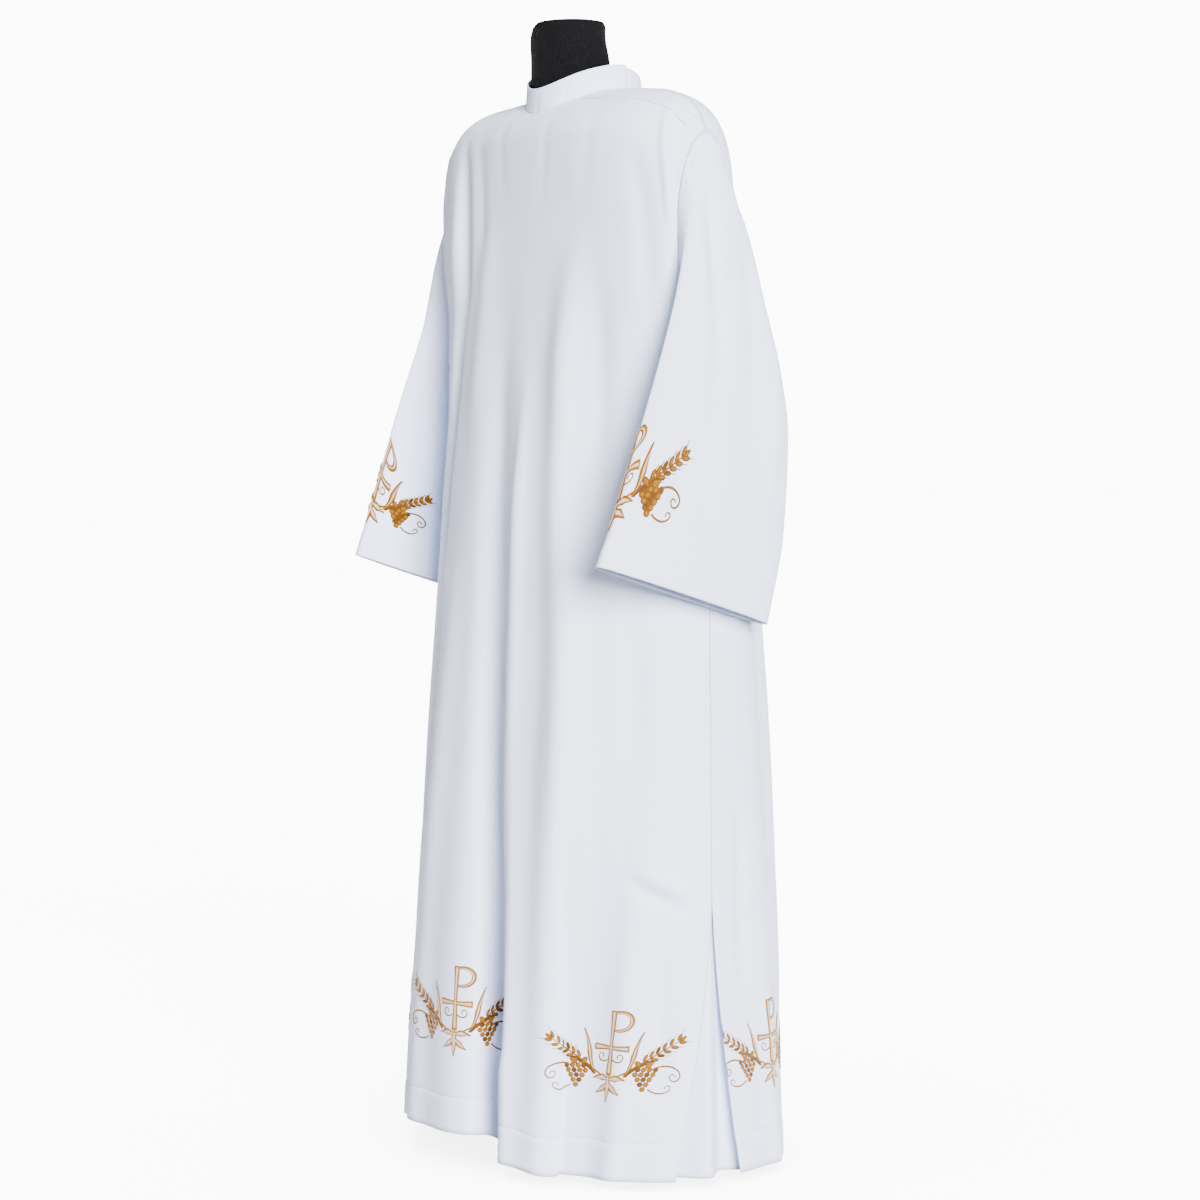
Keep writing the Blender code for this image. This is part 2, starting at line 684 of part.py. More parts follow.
def turned(name, profile, colour, roughness):
    """A closed solid turned round the vertical axis through the origin."""
    vertices = []
    for radius, z in profile:
        for i in range(ROUND_SIDES):
            angle = 2.0 * pi * i / ROUND_SIDES
            vertices.append((radius * cos(angle), radius * sin(angle), z))
    faces = grid_faces(len(profile), ROUND_SIDES, True, 0, False)
    faces.append(tuple(range(ROUND_SIDES))[::-1])
    last = (len(profile) - 1) * ROUND_SIDES
    faces.append(tuple(last + i for i in range(ROUND_SIDES)))
    make_object(name, vertices, faces, colour, roughness, 30.0)


def build_form():
    """The torso with its neck, the pole and the base plate."""
    build_torso()
    plate = ((BASE_RADIUS, 0.0), (BASE_RADIUS, BASE_THICKNESS - EDGE_ROUND),
             (BASE_RADIUS - EDGE_ROUND, BASE_THICKNESS))
    turned("stand_base", plate, METAL_COLOUR, 0.45)
    pole_foot = BASE_THICKNESS + STAND_GAP
    pole_head = FORM_BOTTOM_Z - STAND_GAP
    turned("stand_pole", ((POLE_RADIUS, pole_foot), (POLE_RADIUS, pole_head)), METAL_COLOUR, 0.4)


def build():
    """Clear the scene and build every piece."""
    for obj in list(bpy.data.objects):
        bpy.data.objects.remove(obj, do_unlink=True)
    build_panels()
    build_sleeve("sleeve_left", 1.0)
    build_sleeve("sleeve_right", -1.0)
    build_collar()
    build_pleat("side_pleat_left", 1.0)
    build_pleat("side_pleat_right", -1.0)
    build_form()


build()
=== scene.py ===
# %% [markdown]
# # A white alb on a dress form
# An alb is the long white robe that is worn under other vestments. This one is
# cut wide, with a stand collar, deep flat sleeves, a pleat let into each side
# seam and embroidery round the hem and the cuffs. The lesson takes the plain
# solids of the packed model and puts finer cloth in their place.

# %% Load the packed model
from collections import namedtuple
from math import atan, cos, pi, radians, sin

import bpy
import numpy as np
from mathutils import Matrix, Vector


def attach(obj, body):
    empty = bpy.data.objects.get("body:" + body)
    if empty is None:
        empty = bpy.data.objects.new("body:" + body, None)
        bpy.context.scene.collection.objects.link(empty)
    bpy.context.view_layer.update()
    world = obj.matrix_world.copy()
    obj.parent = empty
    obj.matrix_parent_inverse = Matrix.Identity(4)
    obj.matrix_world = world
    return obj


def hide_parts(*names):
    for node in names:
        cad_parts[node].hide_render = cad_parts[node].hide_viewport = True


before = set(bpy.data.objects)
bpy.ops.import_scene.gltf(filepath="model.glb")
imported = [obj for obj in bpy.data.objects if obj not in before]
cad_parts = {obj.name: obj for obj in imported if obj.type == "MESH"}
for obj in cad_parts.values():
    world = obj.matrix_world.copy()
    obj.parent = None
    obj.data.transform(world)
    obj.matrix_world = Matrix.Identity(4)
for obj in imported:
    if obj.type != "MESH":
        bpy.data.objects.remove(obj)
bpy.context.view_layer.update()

print("nodes:", sorted(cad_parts))

# %% [markdown]
# ## Shader maths in plain expressions
# A finish is built from nodes. Written out by hand, even a small sum takes a
# dozen lines, so one small class wraps a socket and lets Python's own signs add
# the Math nodes. Every other node comes from a single method.

# %% A socket that can be added and multiplied


class Amount:
    """A value that comes out of a node, such as a number that varies over a surface."""

    def __init__(self, nodes, socket):
        self.nodes = nodes
        self.socket = socket

    def math(self, operation, first, second):
        return self.nodes.node("ShaderNodeMath", {"operation": operation}, {0: first, 1: second})

    def __add__(self, other):
        return self.math("ADD", self, other)

    def __radd__(self, other):
        return self.math("ADD", other, self)

    def __mul__(self, other):
        return self.math("MULTIPLY", self, other)

    def __rmul__(self, other):
        return self.math("MULTIPLY", other, self)


class NodeTree:
    """A tree of shader nodes, all made by one method."""

    def __init__(self, tree):
        self.tree = tree

    def node(self, kind, settings=None, sockets=None, output=0):
        """Add a node: its settings first, then the values or links of its sockets."""
        node = self.tree.nodes.new(kind)
        for key, value in (settings or {}).items():
            setattr(node, key, value)
        for key, value in (sockets or {}).items():
            if isinstance(value, Amount):
                self.tree.links.new(value.socket, node.inputs[key])
            else:
                node.inputs[key].default_value = value
        return Amount(self, node.outputs[output])


# %% [markdown]
# ## One finish, one material
# Cloth, thread and coated steel all need the same few helpers: a wave for the
# threads of a weave, noise for what is uneven, a bump, and a blend of two
# colours. They could be repeated in each material, but a class keeps them in one
# place, and sizes can be given in metres on the cloth.

# %% Helpers for a finish
WAVE_UNITS = 0.31416
NOISE_DETAIL = 2.0


class Finish(NodeTree):
    """One procedural material."""

    def __init__(self, name, **constants):
        self.material = bpy.data.materials.new(name)
        self.material.use_nodes = True
        super().__init__(self.material.node_tree)
        self.shader = self.tree.nodes["Principled BSDF"]
        for key, value in constants.items():
            self.shader.inputs[key.replace("_", " ")].default_value = value

    def feed(self, name, amount):
        """Link an amount to one of the shader's own sockets."""
        self.tree.links.new(amount.socket, self.shader.inputs[name])

    def cloth_place(self):
        """The place on the cloth in metres, as it was laid out flat."""
        return self.node("ShaderNodeUVMap", {"uv_map": "cloth"})

    def wave(self, place, pitch, direction):
        """Ridges at a pitch in metres. One wave of the node is WAVE_UNITS wide."""
        settings = {"wave_type": "BANDS", "bands_direction": direction, "wave_profile": "SIN"}
        sockets = {"Vector": place, "Scale": WAVE_UNITS / pitch}
        return self.node("ShaderNodeTexWave", settings, sockets, 1)

    def noise(self, place, size, stretch=(1.0, 1.0, 1.0)):
        """Soft uneven noise of a size in metres, stretched along an axis."""
        scaled = self.node("ShaderNodeVectorMath", {"operation": "MULTIPLY"}, {0: place, 1: stretch})
        sockets = {"Vector": scaled, "Scale": 1.0 / size, "Detail": NOISE_DETAIL}
        return self.node("ShaderNodeTexNoise", {"noise_dimensions": "3D"}, sockets, 0)

    def bump(self, height, distance):
        """Raise the surface by a height, through the shader's normal."""
        sockets = {"Height": height, "Distance": distance, "Strength": 1.0}
        self.feed("Normal", self.node("ShaderNodeBump", {}, sockets))

    def two_tone(self, first, second, factor):
        """Blend two colours by an amount."""
        sockets = {"Factor": factor, 6: (*first, 1.0), 7: (*second, 1.0)}
        return self.node("ShaderNodeMix", {"data_type": "RGBA"}, sockets, 2)


print("helpers of a finish:", [name for name in vars(Finish) if not name.startswith("_")])

# %% [markdown]
# ## The white cloth
# Albs of this kind are cut from a light polyester crepe. It is cool white, nearly
# matt, with a faint weave that only shows from close by. Fine ridges both ways
# and a little uneven slub in the bump give the weave, and a touch of sheen gives
# the soft edge that woven cloth has against the light.

# %% Mix the cloth finish


def cloth_finish(name, colour, deep):
    finish = Finish(name, Roughness=0.62, Sheen_Weight=0.18, Sheen_Roughness=0.45,
                    Specular_IOR_Level=0.28)
    place = finish.cloth_place()
    warp = finish.wave(place, 0.0011, "X")
    weft = finish.wave(place, 0.0012, "Y")
    slub = finish.noise(place, 0.0035, (1.0, 0.35, 1.0))
    drift = finish.noise(place, 0.16)
    finish.bump(warp * 0.4 + weft * 0.4 + slub * 0.9, 0.00022)
    finish.feed("Base Color", finish.two_tone(deep, colour, 0.35 * drift + 0.65 * slub))
    return finish.material


white_cloth = cloth_finish("white cloth", (0.74, 0.80, 0.98), (0.69, 0.755, 0.96))
print("cloth nodes:", len(white_cloth.node_tree.nodes))

# %% [markdown]
# ## The sizes of the robe
# The cloth follows the same sections as the packed solids, so the tables below
# repeat them: level sections of the body, the line of the shoulder, and the four
# lines that a sleeve is drawn between.

# %% Sections of the body and the sleeves


def table(kind, rows):
    """Give each row of numbers the names of its columns."""
    return [kind(*row) for row in rows]


HEM_Z = 0.012
HEM_DEPTH = 0.050
UNDERARM_Z = 1.10
NECK_RADIUS_X = 0.074
NECK_RADIUS_Y = 0.084
NECK_CENTRE_Y = -0.010
NECK_SIDE_Z = 1.468
SHOULDER_ROUND = 0.07
NECK_SHARE = 16.0 / 36.0
SEAM_GAP = 0.0004
SHOULDER_FORWARD = 0.0125

Section = namedtuple("Section", "z centre_x half_width front back right_power left_power back_power")
BODY = table(Section, (
    (0.012, -0.020, 0.285, 0.215, 0.250, 2.3, 1.6, 2.5),
    (0.150, -0.019, 0.283, 0.211, 0.244, 2.2, 1.6, 2.5),
    (0.330, -0.016, 0.279, 0.203, 0.235, 2.1, 1.7, 2.5),
    (0.560, -0.010, 0.270, 0.190, 0.216, 2.1, 1.8, 2.5),
    (0.760, -0.004, 0.262, 0.175, 0.190, 2.1, 2.0, 2.5),
    (0.900, 0.000, 0.257, 0.166, 0.172, 2.1, 2.1, 2.4),
    (1.020, 0.000, 0.256, 0.150, 0.152, 2.1, 2.1, 2.3),
    (1.100, 0.000, 0.265, 0.138, 0.138, 2.1, 2.1, 2.2),
    (1.180, 0.000, 0.265, 0.124, 0.122, 2.2, 2.1, 2.1),
    (1.300, 0.000, 0.264, 0.114, 0.108, 2.4, 2.1, 2.1),
    (1.480, 0.000, 0.264, 0.112, 0.104, 2.4, 2.1, 2.1),
))
Ridge = namedtuple("Ridge", "x z right_rise")
SHOULDER = table(Ridge, (
    (0.000, NECK_SIDE_Z, 0.000),
    (0.074, NECK_SIDE_Z, 0.000),
    (0.115, 1.466, 0.000),
    (0.165, 1.461, 0.001),
    (0.205, 1.449, 0.005),
    (0.235, 1.427, 0.009),
    (0.250, 1.398, 0.000),
))
Lift = namedtuple("Lift", "place rise")
FRONT_LIFT = table(Lift, (
    (-1.00, 0.020),
    (-0.60, 0.028),
    (-0.35, 0.037),
    (-0.10, 0.036),
    (0.05, 0.035),
    (0.16, 0.013),
    (0.30, 0.006),
    (0.45, 0.000),
    (1.00, 0.000),
))
BACK_LIFT = table(Lift, (
    (-1.00, 0.020),
    (-0.30, 0.000),
    (1.00, 0.000),
))
Loop = namedtuple("Loop", "along ox oy oz fx fy fz ux uy uz rx ry rz")
SLEEVE = table(Loop, (
    (0.00, 0.250, 0.000, 1.398, 0.250, -0.050, 1.262, 0.265, 0.000, 1.100, 0.250, 0.046, 1.262),
    (0.18, 0.276, 0.002, 1.298, 0.269, -0.062, 1.200, 0.2672, -0.002, 1.065, 0.270, 0.060, 1.190),
    (0.38, 0.292, 0.002, 1.165, 0.277, -0.096, 1.112, 0.2676, -0.006, 1.005, 0.279, 0.083, 1.100),
    (0.60, 0.298, -0.010, 1.040, 0.279, -0.135, 1.014, 0.2680, -0.018, 0.935, 0.283, 0.110, 0.985),
    (0.80, 0.299, -0.034, 0.915, 0.279, -0.170, 0.922, 0.2684, -0.040, 0.868, 0.284, 0.102, 0.865),
    (1.00, 0.297, -0.064, 0.792, 0.276, -0.205, 0.833, 0.2686, -0.064, 0.790, 0.281, 0.077, 0.750),
))

# %% [markdown]
# ## Smooth curves through a table
# Sections are given at a few heights. A curve that never overshoots fills in the
# rest, so the cloth runs smoothly from one section to the next. The curve takes
# whole arrays, which makes a fine grid quick to work out.

# %% A curve for each column of a table


def curve_through(places, values):
    places = np.asarray(places, dtype=float)
    values = np.asarray(values, dtype=float)
    steps = np.diff(places)
    rises = np.diff(values) / steps
    slopes = np.zeros(len(values))
    slopes[0] = rises[0]
    slopes[-1] = rises[-1]
    for i in range(1, len(values) - 1):
        if rises[i - 1] * rises[i] > 0.0:
            slopes[i] = 2.0 * rises[i - 1] * rises[i] / (rises[i - 1] + rises[i])

    def at(place):
        place = np.clip(place, places[0], places[-1])
        i = np.clip(np.searchsorted(places, place, side="right") - 1, 0, len(steps) - 1)
        u = (place - places[i]) / steps[i]
        rise = values[i + 1] - values[i]
        first = slopes[i] * steps[i]
        last = slopes[i + 1] * steps[i]
        bend = 3.0 * rise - 2.0 * first - last
        return values[i] + u * (first + u * (bend + u * (first + last - 2.0 * rise)))

    return at


def curves_of(rows, key):
    places = [getattr(row, key) for row in rows]
    return {name: curve_through(places, [getattr(row, name) for row in rows])
            for name in rows[0]._fields}


def smooth(low, high, value):
    share = np.clip((value - low) / (high - low), 0.0, 1.0)
    return share * share * (3.0 - 2.0 * share)


body_at = curves_of(BODY, "z")
shoulder_at = curves_of(SHOULDER, "x")
sleeve_at = curves_of(SLEEVE, "along")
lift_at = {-1: curves_of(FRONT_LIFT, "place")["rise"], 1: curves_of(BACK_LIFT, "place")["rise"]}
print("half width at the waist:", round(float(body_at["half_width"](1.0)), 3))

# %% [markdown]
# ## The front and the back below the arms
# Each panel of the robe is one length of cloth from shoulder to hem. It could be
# draped by a simulation, but then its folds would fall where chance puts them.
# Here it is drawn row by row instead: a row below the armholes is a level section
# of the body, with its points spread evenly along the cloth.

# %% Level rows of a panel
PLEAT_TOP_Z = 0.385
PLEAT_OPENING = 0.050
PLEAT_FLARE = 1.4
LIFT_TOP_Z = 0.330
RING_SAMPLES = 400


def shoulder_height(x):
    rise = np.where(np.asarray(x) < 0.0, shoulder_at["right_rise"](np.abs(x)), 0.0)
    return shoulder_at["z"](np.abs(x)) + rise


def carried_forward(points):
    """The wearer's right shoulder is carried a little forward."""
    points = np.array(points, dtype=float)
    reach = smooth(0.09, 0.24, -points[..., 0]) * smooth(1.15, 1.28, points[..., 2])
    points[..., 1] -= SHOULDER_FORWARD * reach
    return points


def pleat_share(z):
    """How far the pleat has opened at a height, from 0 at its top to 1 at the hem."""
    return np.clip((PLEAT_TOP_Z - z) / (PLEAT_TOP_Z - HEM_Z), 0.0, 1.0) ** PLEAT_FLARE


def pleat_half_opening(z):
    return 0.5 * SEAM_GAP + PLEAT_OPENING * pleat_share(z)


def power_of(x, z, face):
    if face > 0:
        return body_at["back_power"](z)
    return np.where(np.asarray(x) < 0.0, body_at["right_power"](z), body_at["left_power"](z))


def outline(x, z, face):
    """How far forward or back the cloth lies. face is -1 for the front, 1 for the back."""
    half = body_at["half_width"](z)
    power = power_of(x, z, face)
    across = np.minimum(np.abs(x) / half, 1.0)
    depth = body_at["front"](z) if face < 0 else body_at["back"](z)
    plain = depth * (1.0 - across ** power) ** (1.0 / power)
    drop = np.clip((shoulder_height(x) - z) / SHOULDER_ROUND, 0.0, 1.0)
    rounding = np.sqrt(1.0 - (1.0 - drop) ** 2)
    middle = NECK_CENTRE_Y * (1.0 - np.minimum(np.abs(x) / SHOULDER[-1].x, 1.0))
    return middle * (1.0 - rounding) + face * plain * rounding


def ring_x(z, places, face):
    """Distances across of places on one level section, even along the cloth."""
    half = float(body_at["half_width"](z))
    depth = float(body_at["front"](z) if face < 0 else body_at["back"](z))
    found = np.zeros(len(places))
    for side in (-1.0, 1.0):
        power = float(power_of(side, z, face))
        end = (pleat_half_opening(z) / depth) ** (power / 2.0)
        angles = np.linspace(0.0, np.arccos(end), RING_SAMPLES)
        xs = half * np.sin(angles) ** (2.0 / power)
        ys = depth * np.cos(angles) ** (2.0 / power)
        lengths = np.concatenate(([0.0], np.cumsum(np.hypot(np.diff(xs), np.diff(ys)))))
        here = places * side >= 0.0
        found[here] = side * np.interp(np.abs(places[here]) * lengths[-1], lengths, xs)
    return found


def low_row(z, places, face):
    x = ring_x(z, places, face)
    y = outline(x, z, face)
    least = pleat_half_opening(z)
    y = np.where(np.abs(y) < least, face * least, y)
    level = z + lift_at[face](places) * smooth(LIFT_TOP_Z, HEM_Z, z)
    return np.stack((x + body_at["centre_x"](z), y, level), axis=1)


print("hem row, middle front:", low_row(HEM_Z, np.zeros(1), -1).round(3))

# %% [markdown]
# ## The neckline and the shoulder line
# At the top each panel ends in half of the neckline and in the two shoulder
# seams. The neckline is an oval seen from above, and its height is whatever the
# sloping shoulder has there, so it is found by halving the distance again and
# again until the oval meets the cloth.

# %% The top row of a panel
SEARCH_STEPS = 40


def neck_edge(angles):
    """The neckline at angles from the middle front towards the wearer's left."""
    angles = np.asarray(angles, dtype=float)
    x = NECK_RADIUS_X * np.sin(angles)
    y = NECK_CENTRE_Y - NECK_RADIUS_Y * np.cos(angles)
    face = np.where(np.cos(angles) >= 0.0, -1.0, 1.0)
    low = np.full(len(angles), UNDERARM_Z)
    high = np.full(len(angles), NECK_SIDE_Z)
    for _ in range(SEARCH_STEPS):
        z = 0.5 * (low + high)
        reach = np.where(face < 0.0, y - outline(x, z, -1), outline(x, z, 1) - y)
        low = np.where(reach > 0.0, z, low)
        high = np.where(reach > 0.0, high, z)
    return np.stack((x, y, z), axis=1)


def top_row(places, face):
    turn = 0.5 * pi * np.clip(places / NECK_SHARE, -1.0, 1.0)
    neck = neck_edge(turn if face < 0 else pi - turn)
    share = np.clip((np.abs(places) - NECK_SHARE) / (1.0 - NECK_SHARE), 0.0, 1.0)
    x = np.sign(places) * (NECK_RADIUS_X + share * (SHOULDER[-1].x - NECK_RADIUS_X))
    z = shoulder_height(x)
    line = np.stack((x, outline(x, z, face), z), axis=1)
    on_neck = (np.abs(places) <= NECK_SHARE + 1e-9)[:, None]
    row = np.where(on_neck, neck, line)
    row[:, 1] += np.where(np.abs(places) >= NECK_SHARE - 1e-9, face * 0.5 * SEAM_GAP, 0.0)
    return row


print("neckline, middle front:", neck_edge([0.0]).round(3))

# %% [markdown]
# ## The shape of a sleeve
# The sleeve is a wide bell that hangs flat, so a round tube would look wrong. Its
# sections are drawn through four lines instead: the middle of the outer side, the
# forward fold, the underarm and the rear fold. Below the armhole the loops turn
# blunt at their two folds, as pressed cloth does.

# %% Points of a sleeve
SLEEVE_BLUNT = 0.4
SLEEVE_BLUNT_FROM = 0.25


def sleeve_loops(along, angle, side):
    """0 is the outer side, 90 degrees the forward fold and 180 the underarm."""
    value = {name: curve(along) for name, curve in sleeve_at.items()}
    lines = {key: np.stack([value[key + axis] for axis in "xyz"], axis=-1) for key in "ofur"}
    sideways = np.sin(angle)[..., None]
    blunt = 1.0 - SLEEVE_BLUNT * smooth(0.0, SLEEVE_BLUNT_FROM, along)
    across = (np.sign(np.cos(angle)) * np.abs(np.cos(angle)) ** blunt)[..., None]
    flat = 0.5 * (lines["o"] + lines["u"])
    point = flat + 0.5 * (lines["o"] - lines["u"]) * across
    point = point + 0.5 * (lines["f"] - lines["r"]) * sideways
    point = point + (0.5 * (lines["f"] + lines["r"]) - flat) * sideways ** 2
    return point * np.array((side, 1.0, 1.0))


print("cuff, outer middle:", sleeve_loops(np.ones(1), np.zeros(1), 1.0).round(3))

# %% [markdown]
# ## The front and the back above the arms
# From the armhole up, each row runs from the edge of one sleeve to the other and
# rises to the shoulder seams and the neckline. The rows could be blended between
# the first and the last, but their ends have to keep to the sleeve, so each row
# is drawn in towards the armhole more and more strongly near its ends.

# %% Rising rows of a panel
ARMHOLE_PULL_POWER = 3


def armhole_share(rise):
    """The share of the armhole below a height, its height given as a share too."""
    angles = np.linspace(0.0, pi, RING_SAMPLES)
    heights = sleeve_loops(np.zeros(RING_SAMPLES), pi - angles, 1.0)[:, 2]
    wanted = UNDERARM_Z + rise * (SHOULDER[-1].z - UNDERARM_Z)
    return np.interp(wanted, heights, angles / pi)


def high_row(rise, places, face):
    side = np.where(places >= 0.0, 1.0, -1.0)
    turn = pi * (1.0 - armhole_share(rise))
    edge = {s: sleeve_loops(np.zeros(1), np.array([turn if face < 0 else -turn]), s)[0]
            for s in (-1.0, 1.0)}
    armhole = np.where((side > 0.0)[:, None], edge[1.0], edge[-1.0])
    top = top_row(places, face)
    if rise >= 1.0:
        return top
    level = (armhole[:, 2] - UNDERARM_Z) / (SHOULDER[-1].z - UNDERARM_Z)
    blend = 0.5 * smooth(0.0, 1.0, level) + 0.5 * level
    low_x = ring_x(UNDERARM_Z, places, face)
    z = UNDERARM_Z + (top[:, 2] - UNDERARM_Z) * level
    x = low_x + (top[:, 0] - low_x) * blend
    end_x = side * ring_x(UNDERARM_Z, np.array([1.0]), face)[0]
    end_x = end_x + (SHOULDER[-1].x * side - end_x) * blend
    end = np.stack((end_x, outline(end_x, armhole[:, 2], face), armhole[:, 2]), axis=1)
    armhole = armhole.copy()
    armhole[:, 1] += face * 0.5 * SEAM_GAP
    point = np.stack((x, outline(x, z, face), z), axis=1)
    return point + (armhole - end) * (np.abs(places) ** ARMHOLE_PULL_POWER)[:, None]


print("a rising row, middle front:", high_row(0.9, np.zeros(1), -1).round(3))

# %% [markdown]
# ## From a grid of points to a piece of cloth
# Real cloth is under half a millimetre thick. A single surface would have no edge
# at the hem, so every piece is a grid of points with a thin wall, added by the
# Solidify modifier. The grid carries a map of the flat cloth in metres, so that
# the weave keeps its size wherever the cloth goes.

# %% Turn a grid into cloth
CLOTH_WALL = 0.0008
WELD_REACH = 0.00001


def normals_of(points, ring=False):
    along = np.gradient(points, axis=0)
    if ring:
        across = 0.5 * (np.roll(points, -1, axis=1) - np.roll(points, 1, axis=1))
    else:
        across = np.gradient(points, axis=1)
    normals = np.cross(across, along)
    return normals / np.maximum(np.linalg.norm(normals, axis=2, keepdims=True), 1e-12)


def flat_map(points, middle):
    """Metres across from a middle column and up from the first row."""
    steps = np.linalg.norm(np.diff(points, axis=1), axis=2)
    across = np.concatenate((np.zeros((len(points), 1)), np.cumsum(steps, axis=1)), axis=1)
    across = across - across[:, middle:middle + 1]
    climbs = np.linalg.norm(np.diff(points, axis=0), axis=2)
    up = np.concatenate((np.zeros((1, points.shape[1])), np.cumsum(climbs, axis=0)))
    return np.stack((across, up), axis=2)


def mesh_object(name, vertices, faces, materials, maps=None, smooth_shade=True):
    """An object in the scene. maps gives each vertex its place on the flat cloth."""
    mesh = bpy.data.meshes.new(name)
    mesh.from_pydata(vertices.tolist(), [], faces)
    mesh.update()
    if maps is not None:
        layer = mesh.uv_layers.new(name="cloth")
        loops = np.zeros(len(mesh.loops), dtype=np.int32)
        mesh.loops.foreach_get("vertex_index", loops)
        layer.data.foreach_set("uv", maps[loops].astype(np.float32).ravel())
    if smooth_shade:
        mesh.shade_smooth()
    for material in materials:
        mesh.materials.append(material)
    piece = bpy.data.objects.new(name, mesh)
    bpy.context.scene.collection.objects.link(piece)
    return piece


def cloth_piece(name, points, material, facing, ring=False, wall=CLOTH_WALL):
    """facing is 1 where the grid's normals already point out of the garment."""
    middle = points.shape[1] // 2
    if ring:
        points = np.concatenate((points, points[:, :1]), axis=1)
    rows, cols = points.shape[:2]
    maps = flat_map(points, middle).reshape(-1, 2)
    index = np.arange(rows * cols).reshape(rows, cols)
    a, b = index[:-1, :-1].ravel(), index[:-1, 1:].ravel()
    c, d = index[1:, 1:].ravel(), index[1:, :-1].ravel()
    faces = np.stack((a, b, c, d) if facing > 0 else (d, c, b, a), axis=1)
    piece = mesh_object(name, points.reshape(-1, 3), faces.tolist(), [material], maps)
    if ring:
        weld = piece.modifiers.new("closed round", "WELD")
        weld.merge_threshold = WELD_REACH
    thick = piece.modifiers.new("cloth wall", "SOLIDIFY")
    thick.thickness = wall
    thick.offset = -1.0
    return piece


print("cloth wall in millimetres:", CLOTH_WALL * 1000.0)

# %% [markdown]
# ## Folds and creases
# Folds open towards the hem, and creases run where the cloth pulls. They could
# be painted as a bump, but a fold has to show in the outline, so both move the
# points. The large folds are those of the solids, given by their place at the hem
# and at their top. A crease is a soft line from one point of the cloth to
# another, in millimetres across from the middle and up from the floor, with its
# own width, depth and bow. No two are alike, as on real cloth.

# %% Work out folds and creases
FOLD_SOFTNESS = 4.0
FOLD_EDGE = 60.0
FOLDS_FADE_FROM = 0.86
Fold = namedtuple("Fold", "place_low place_high width depth bottom top edge")
FRONT_FOLDS = table(Fold, (
    (0.158, 0.100, 0.280, -0.062, 0.012, 1.150, 1),
    (0.520, 0.480, 0.460, -0.026, 0.012, 0.700, 0),
    (-0.330, -0.200, 0.140, 0.010, 0.012, 1.050, 0),
    (-0.620, -0.480, 0.120, -0.010, 0.012, 0.900, 0),
    (0.480, 0.400, 0.090, -0.008, 0.012, 0.700, 0),
    (0.720, 0.640, 0.120, 0.009, 0.012, 0.800, 0),
    (-0.820, -0.800, 0.090, 0.008, 0.012, 0.700, 0),
))
BACK_FOLDS = table(Fold, (
    (0.020, 0.000, 0.120, -0.018, 0.012, 1.100, 0),
    (0.300, 0.220, 0.120, 0.012, 0.012, 1.100, 0),
    (-0.300, -0.230, 0.120, 0.012, 0.012, 1.000, 0),
    (0.560, 0.460, 0.110, -0.014, 0.012, 0.900, 0),
    (-0.580, -0.480, 0.110, -0.012, 0.012, 0.900, 0),
    (0.780, 0.760, 0.100, 0.008, 0.012, 0.600, 0),
    (-0.780, -0.760, 0.100, 0.009, 0.012, 0.600, 0),
))


def fold_height(places, heights, folds):
    """How far the folds lift the cloth. A fold with an edge is steep on one side."""
    total = np.zeros(heights.shape)
    for fold in folds:
        reach = np.where(heights > fold.bottom, smooth(fold.top, fold.bottom, heights), 1.0)
        share = np.clip((heights - fold.bottom) / (fold.top - fold.bottom), 0.0, 1.0)
        away = (places - fold.place_low - (fold.place_high - fold.place_low) * share) / fold.width
        soft = np.exp(-away * away * FOLD_SOFTNESS)
        if fold.edge:
            soft = np.where(away < 0.0, soft, np.exp(-away * away * FOLD_EDGE))
        total += fold.depth * reach * soft
    return total * (1.0 - smooth(FOLDS_FADE_FROM, 1.0, np.abs(places)))


Crease = namedtuple("Crease", "across up end_across end_up bow width depth")


def creases_from(rows):
    """Creases in metres, from rows in millimetres."""
    return table(Crease, np.array(rows) * 0.001)


def crease_height(across, up, creases):
    """How far the creases lift the cloth, tapering out at both of their ends."""
    total = np.zeros(across.shape)
    for crease in creases:
        run = np.array((crease.end_across - crease.across, crease.end_up - crease.up))
        length = np.hypot(*run)
        run = run / length
        along = ((across - crease.across) * run[0] + (up - crease.up) * run[1]) / length
        aside = (up - crease.up) * run[0] - (across - crease.across) * run[1]
        inside = np.clip(along, 0.0, 1.0)
        aside = aside - crease.bow * 4.0 * inside * (1.0 - inside)
        taper = smooth(0.0, 0.3, along) * smooth(1.0, 0.6, along)
        total += crease.depth * np.exp(-(aside / crease.width) ** 2) * taper
    return total


print("folds, front and back:", len(FRONT_FOLDS), len(BACK_FOLDS))

# %% [markdown]
# ## The front and the back
# Two wide panels, joined at the shoulders and down the sides as far as the
# pleats. They hang from the shoulders of the dress form, so their folds open
# towards the hem. Cloth thrown over a form by a simulation would look as soft,
# but one table of creases for each panel puts them where the real ones lie.

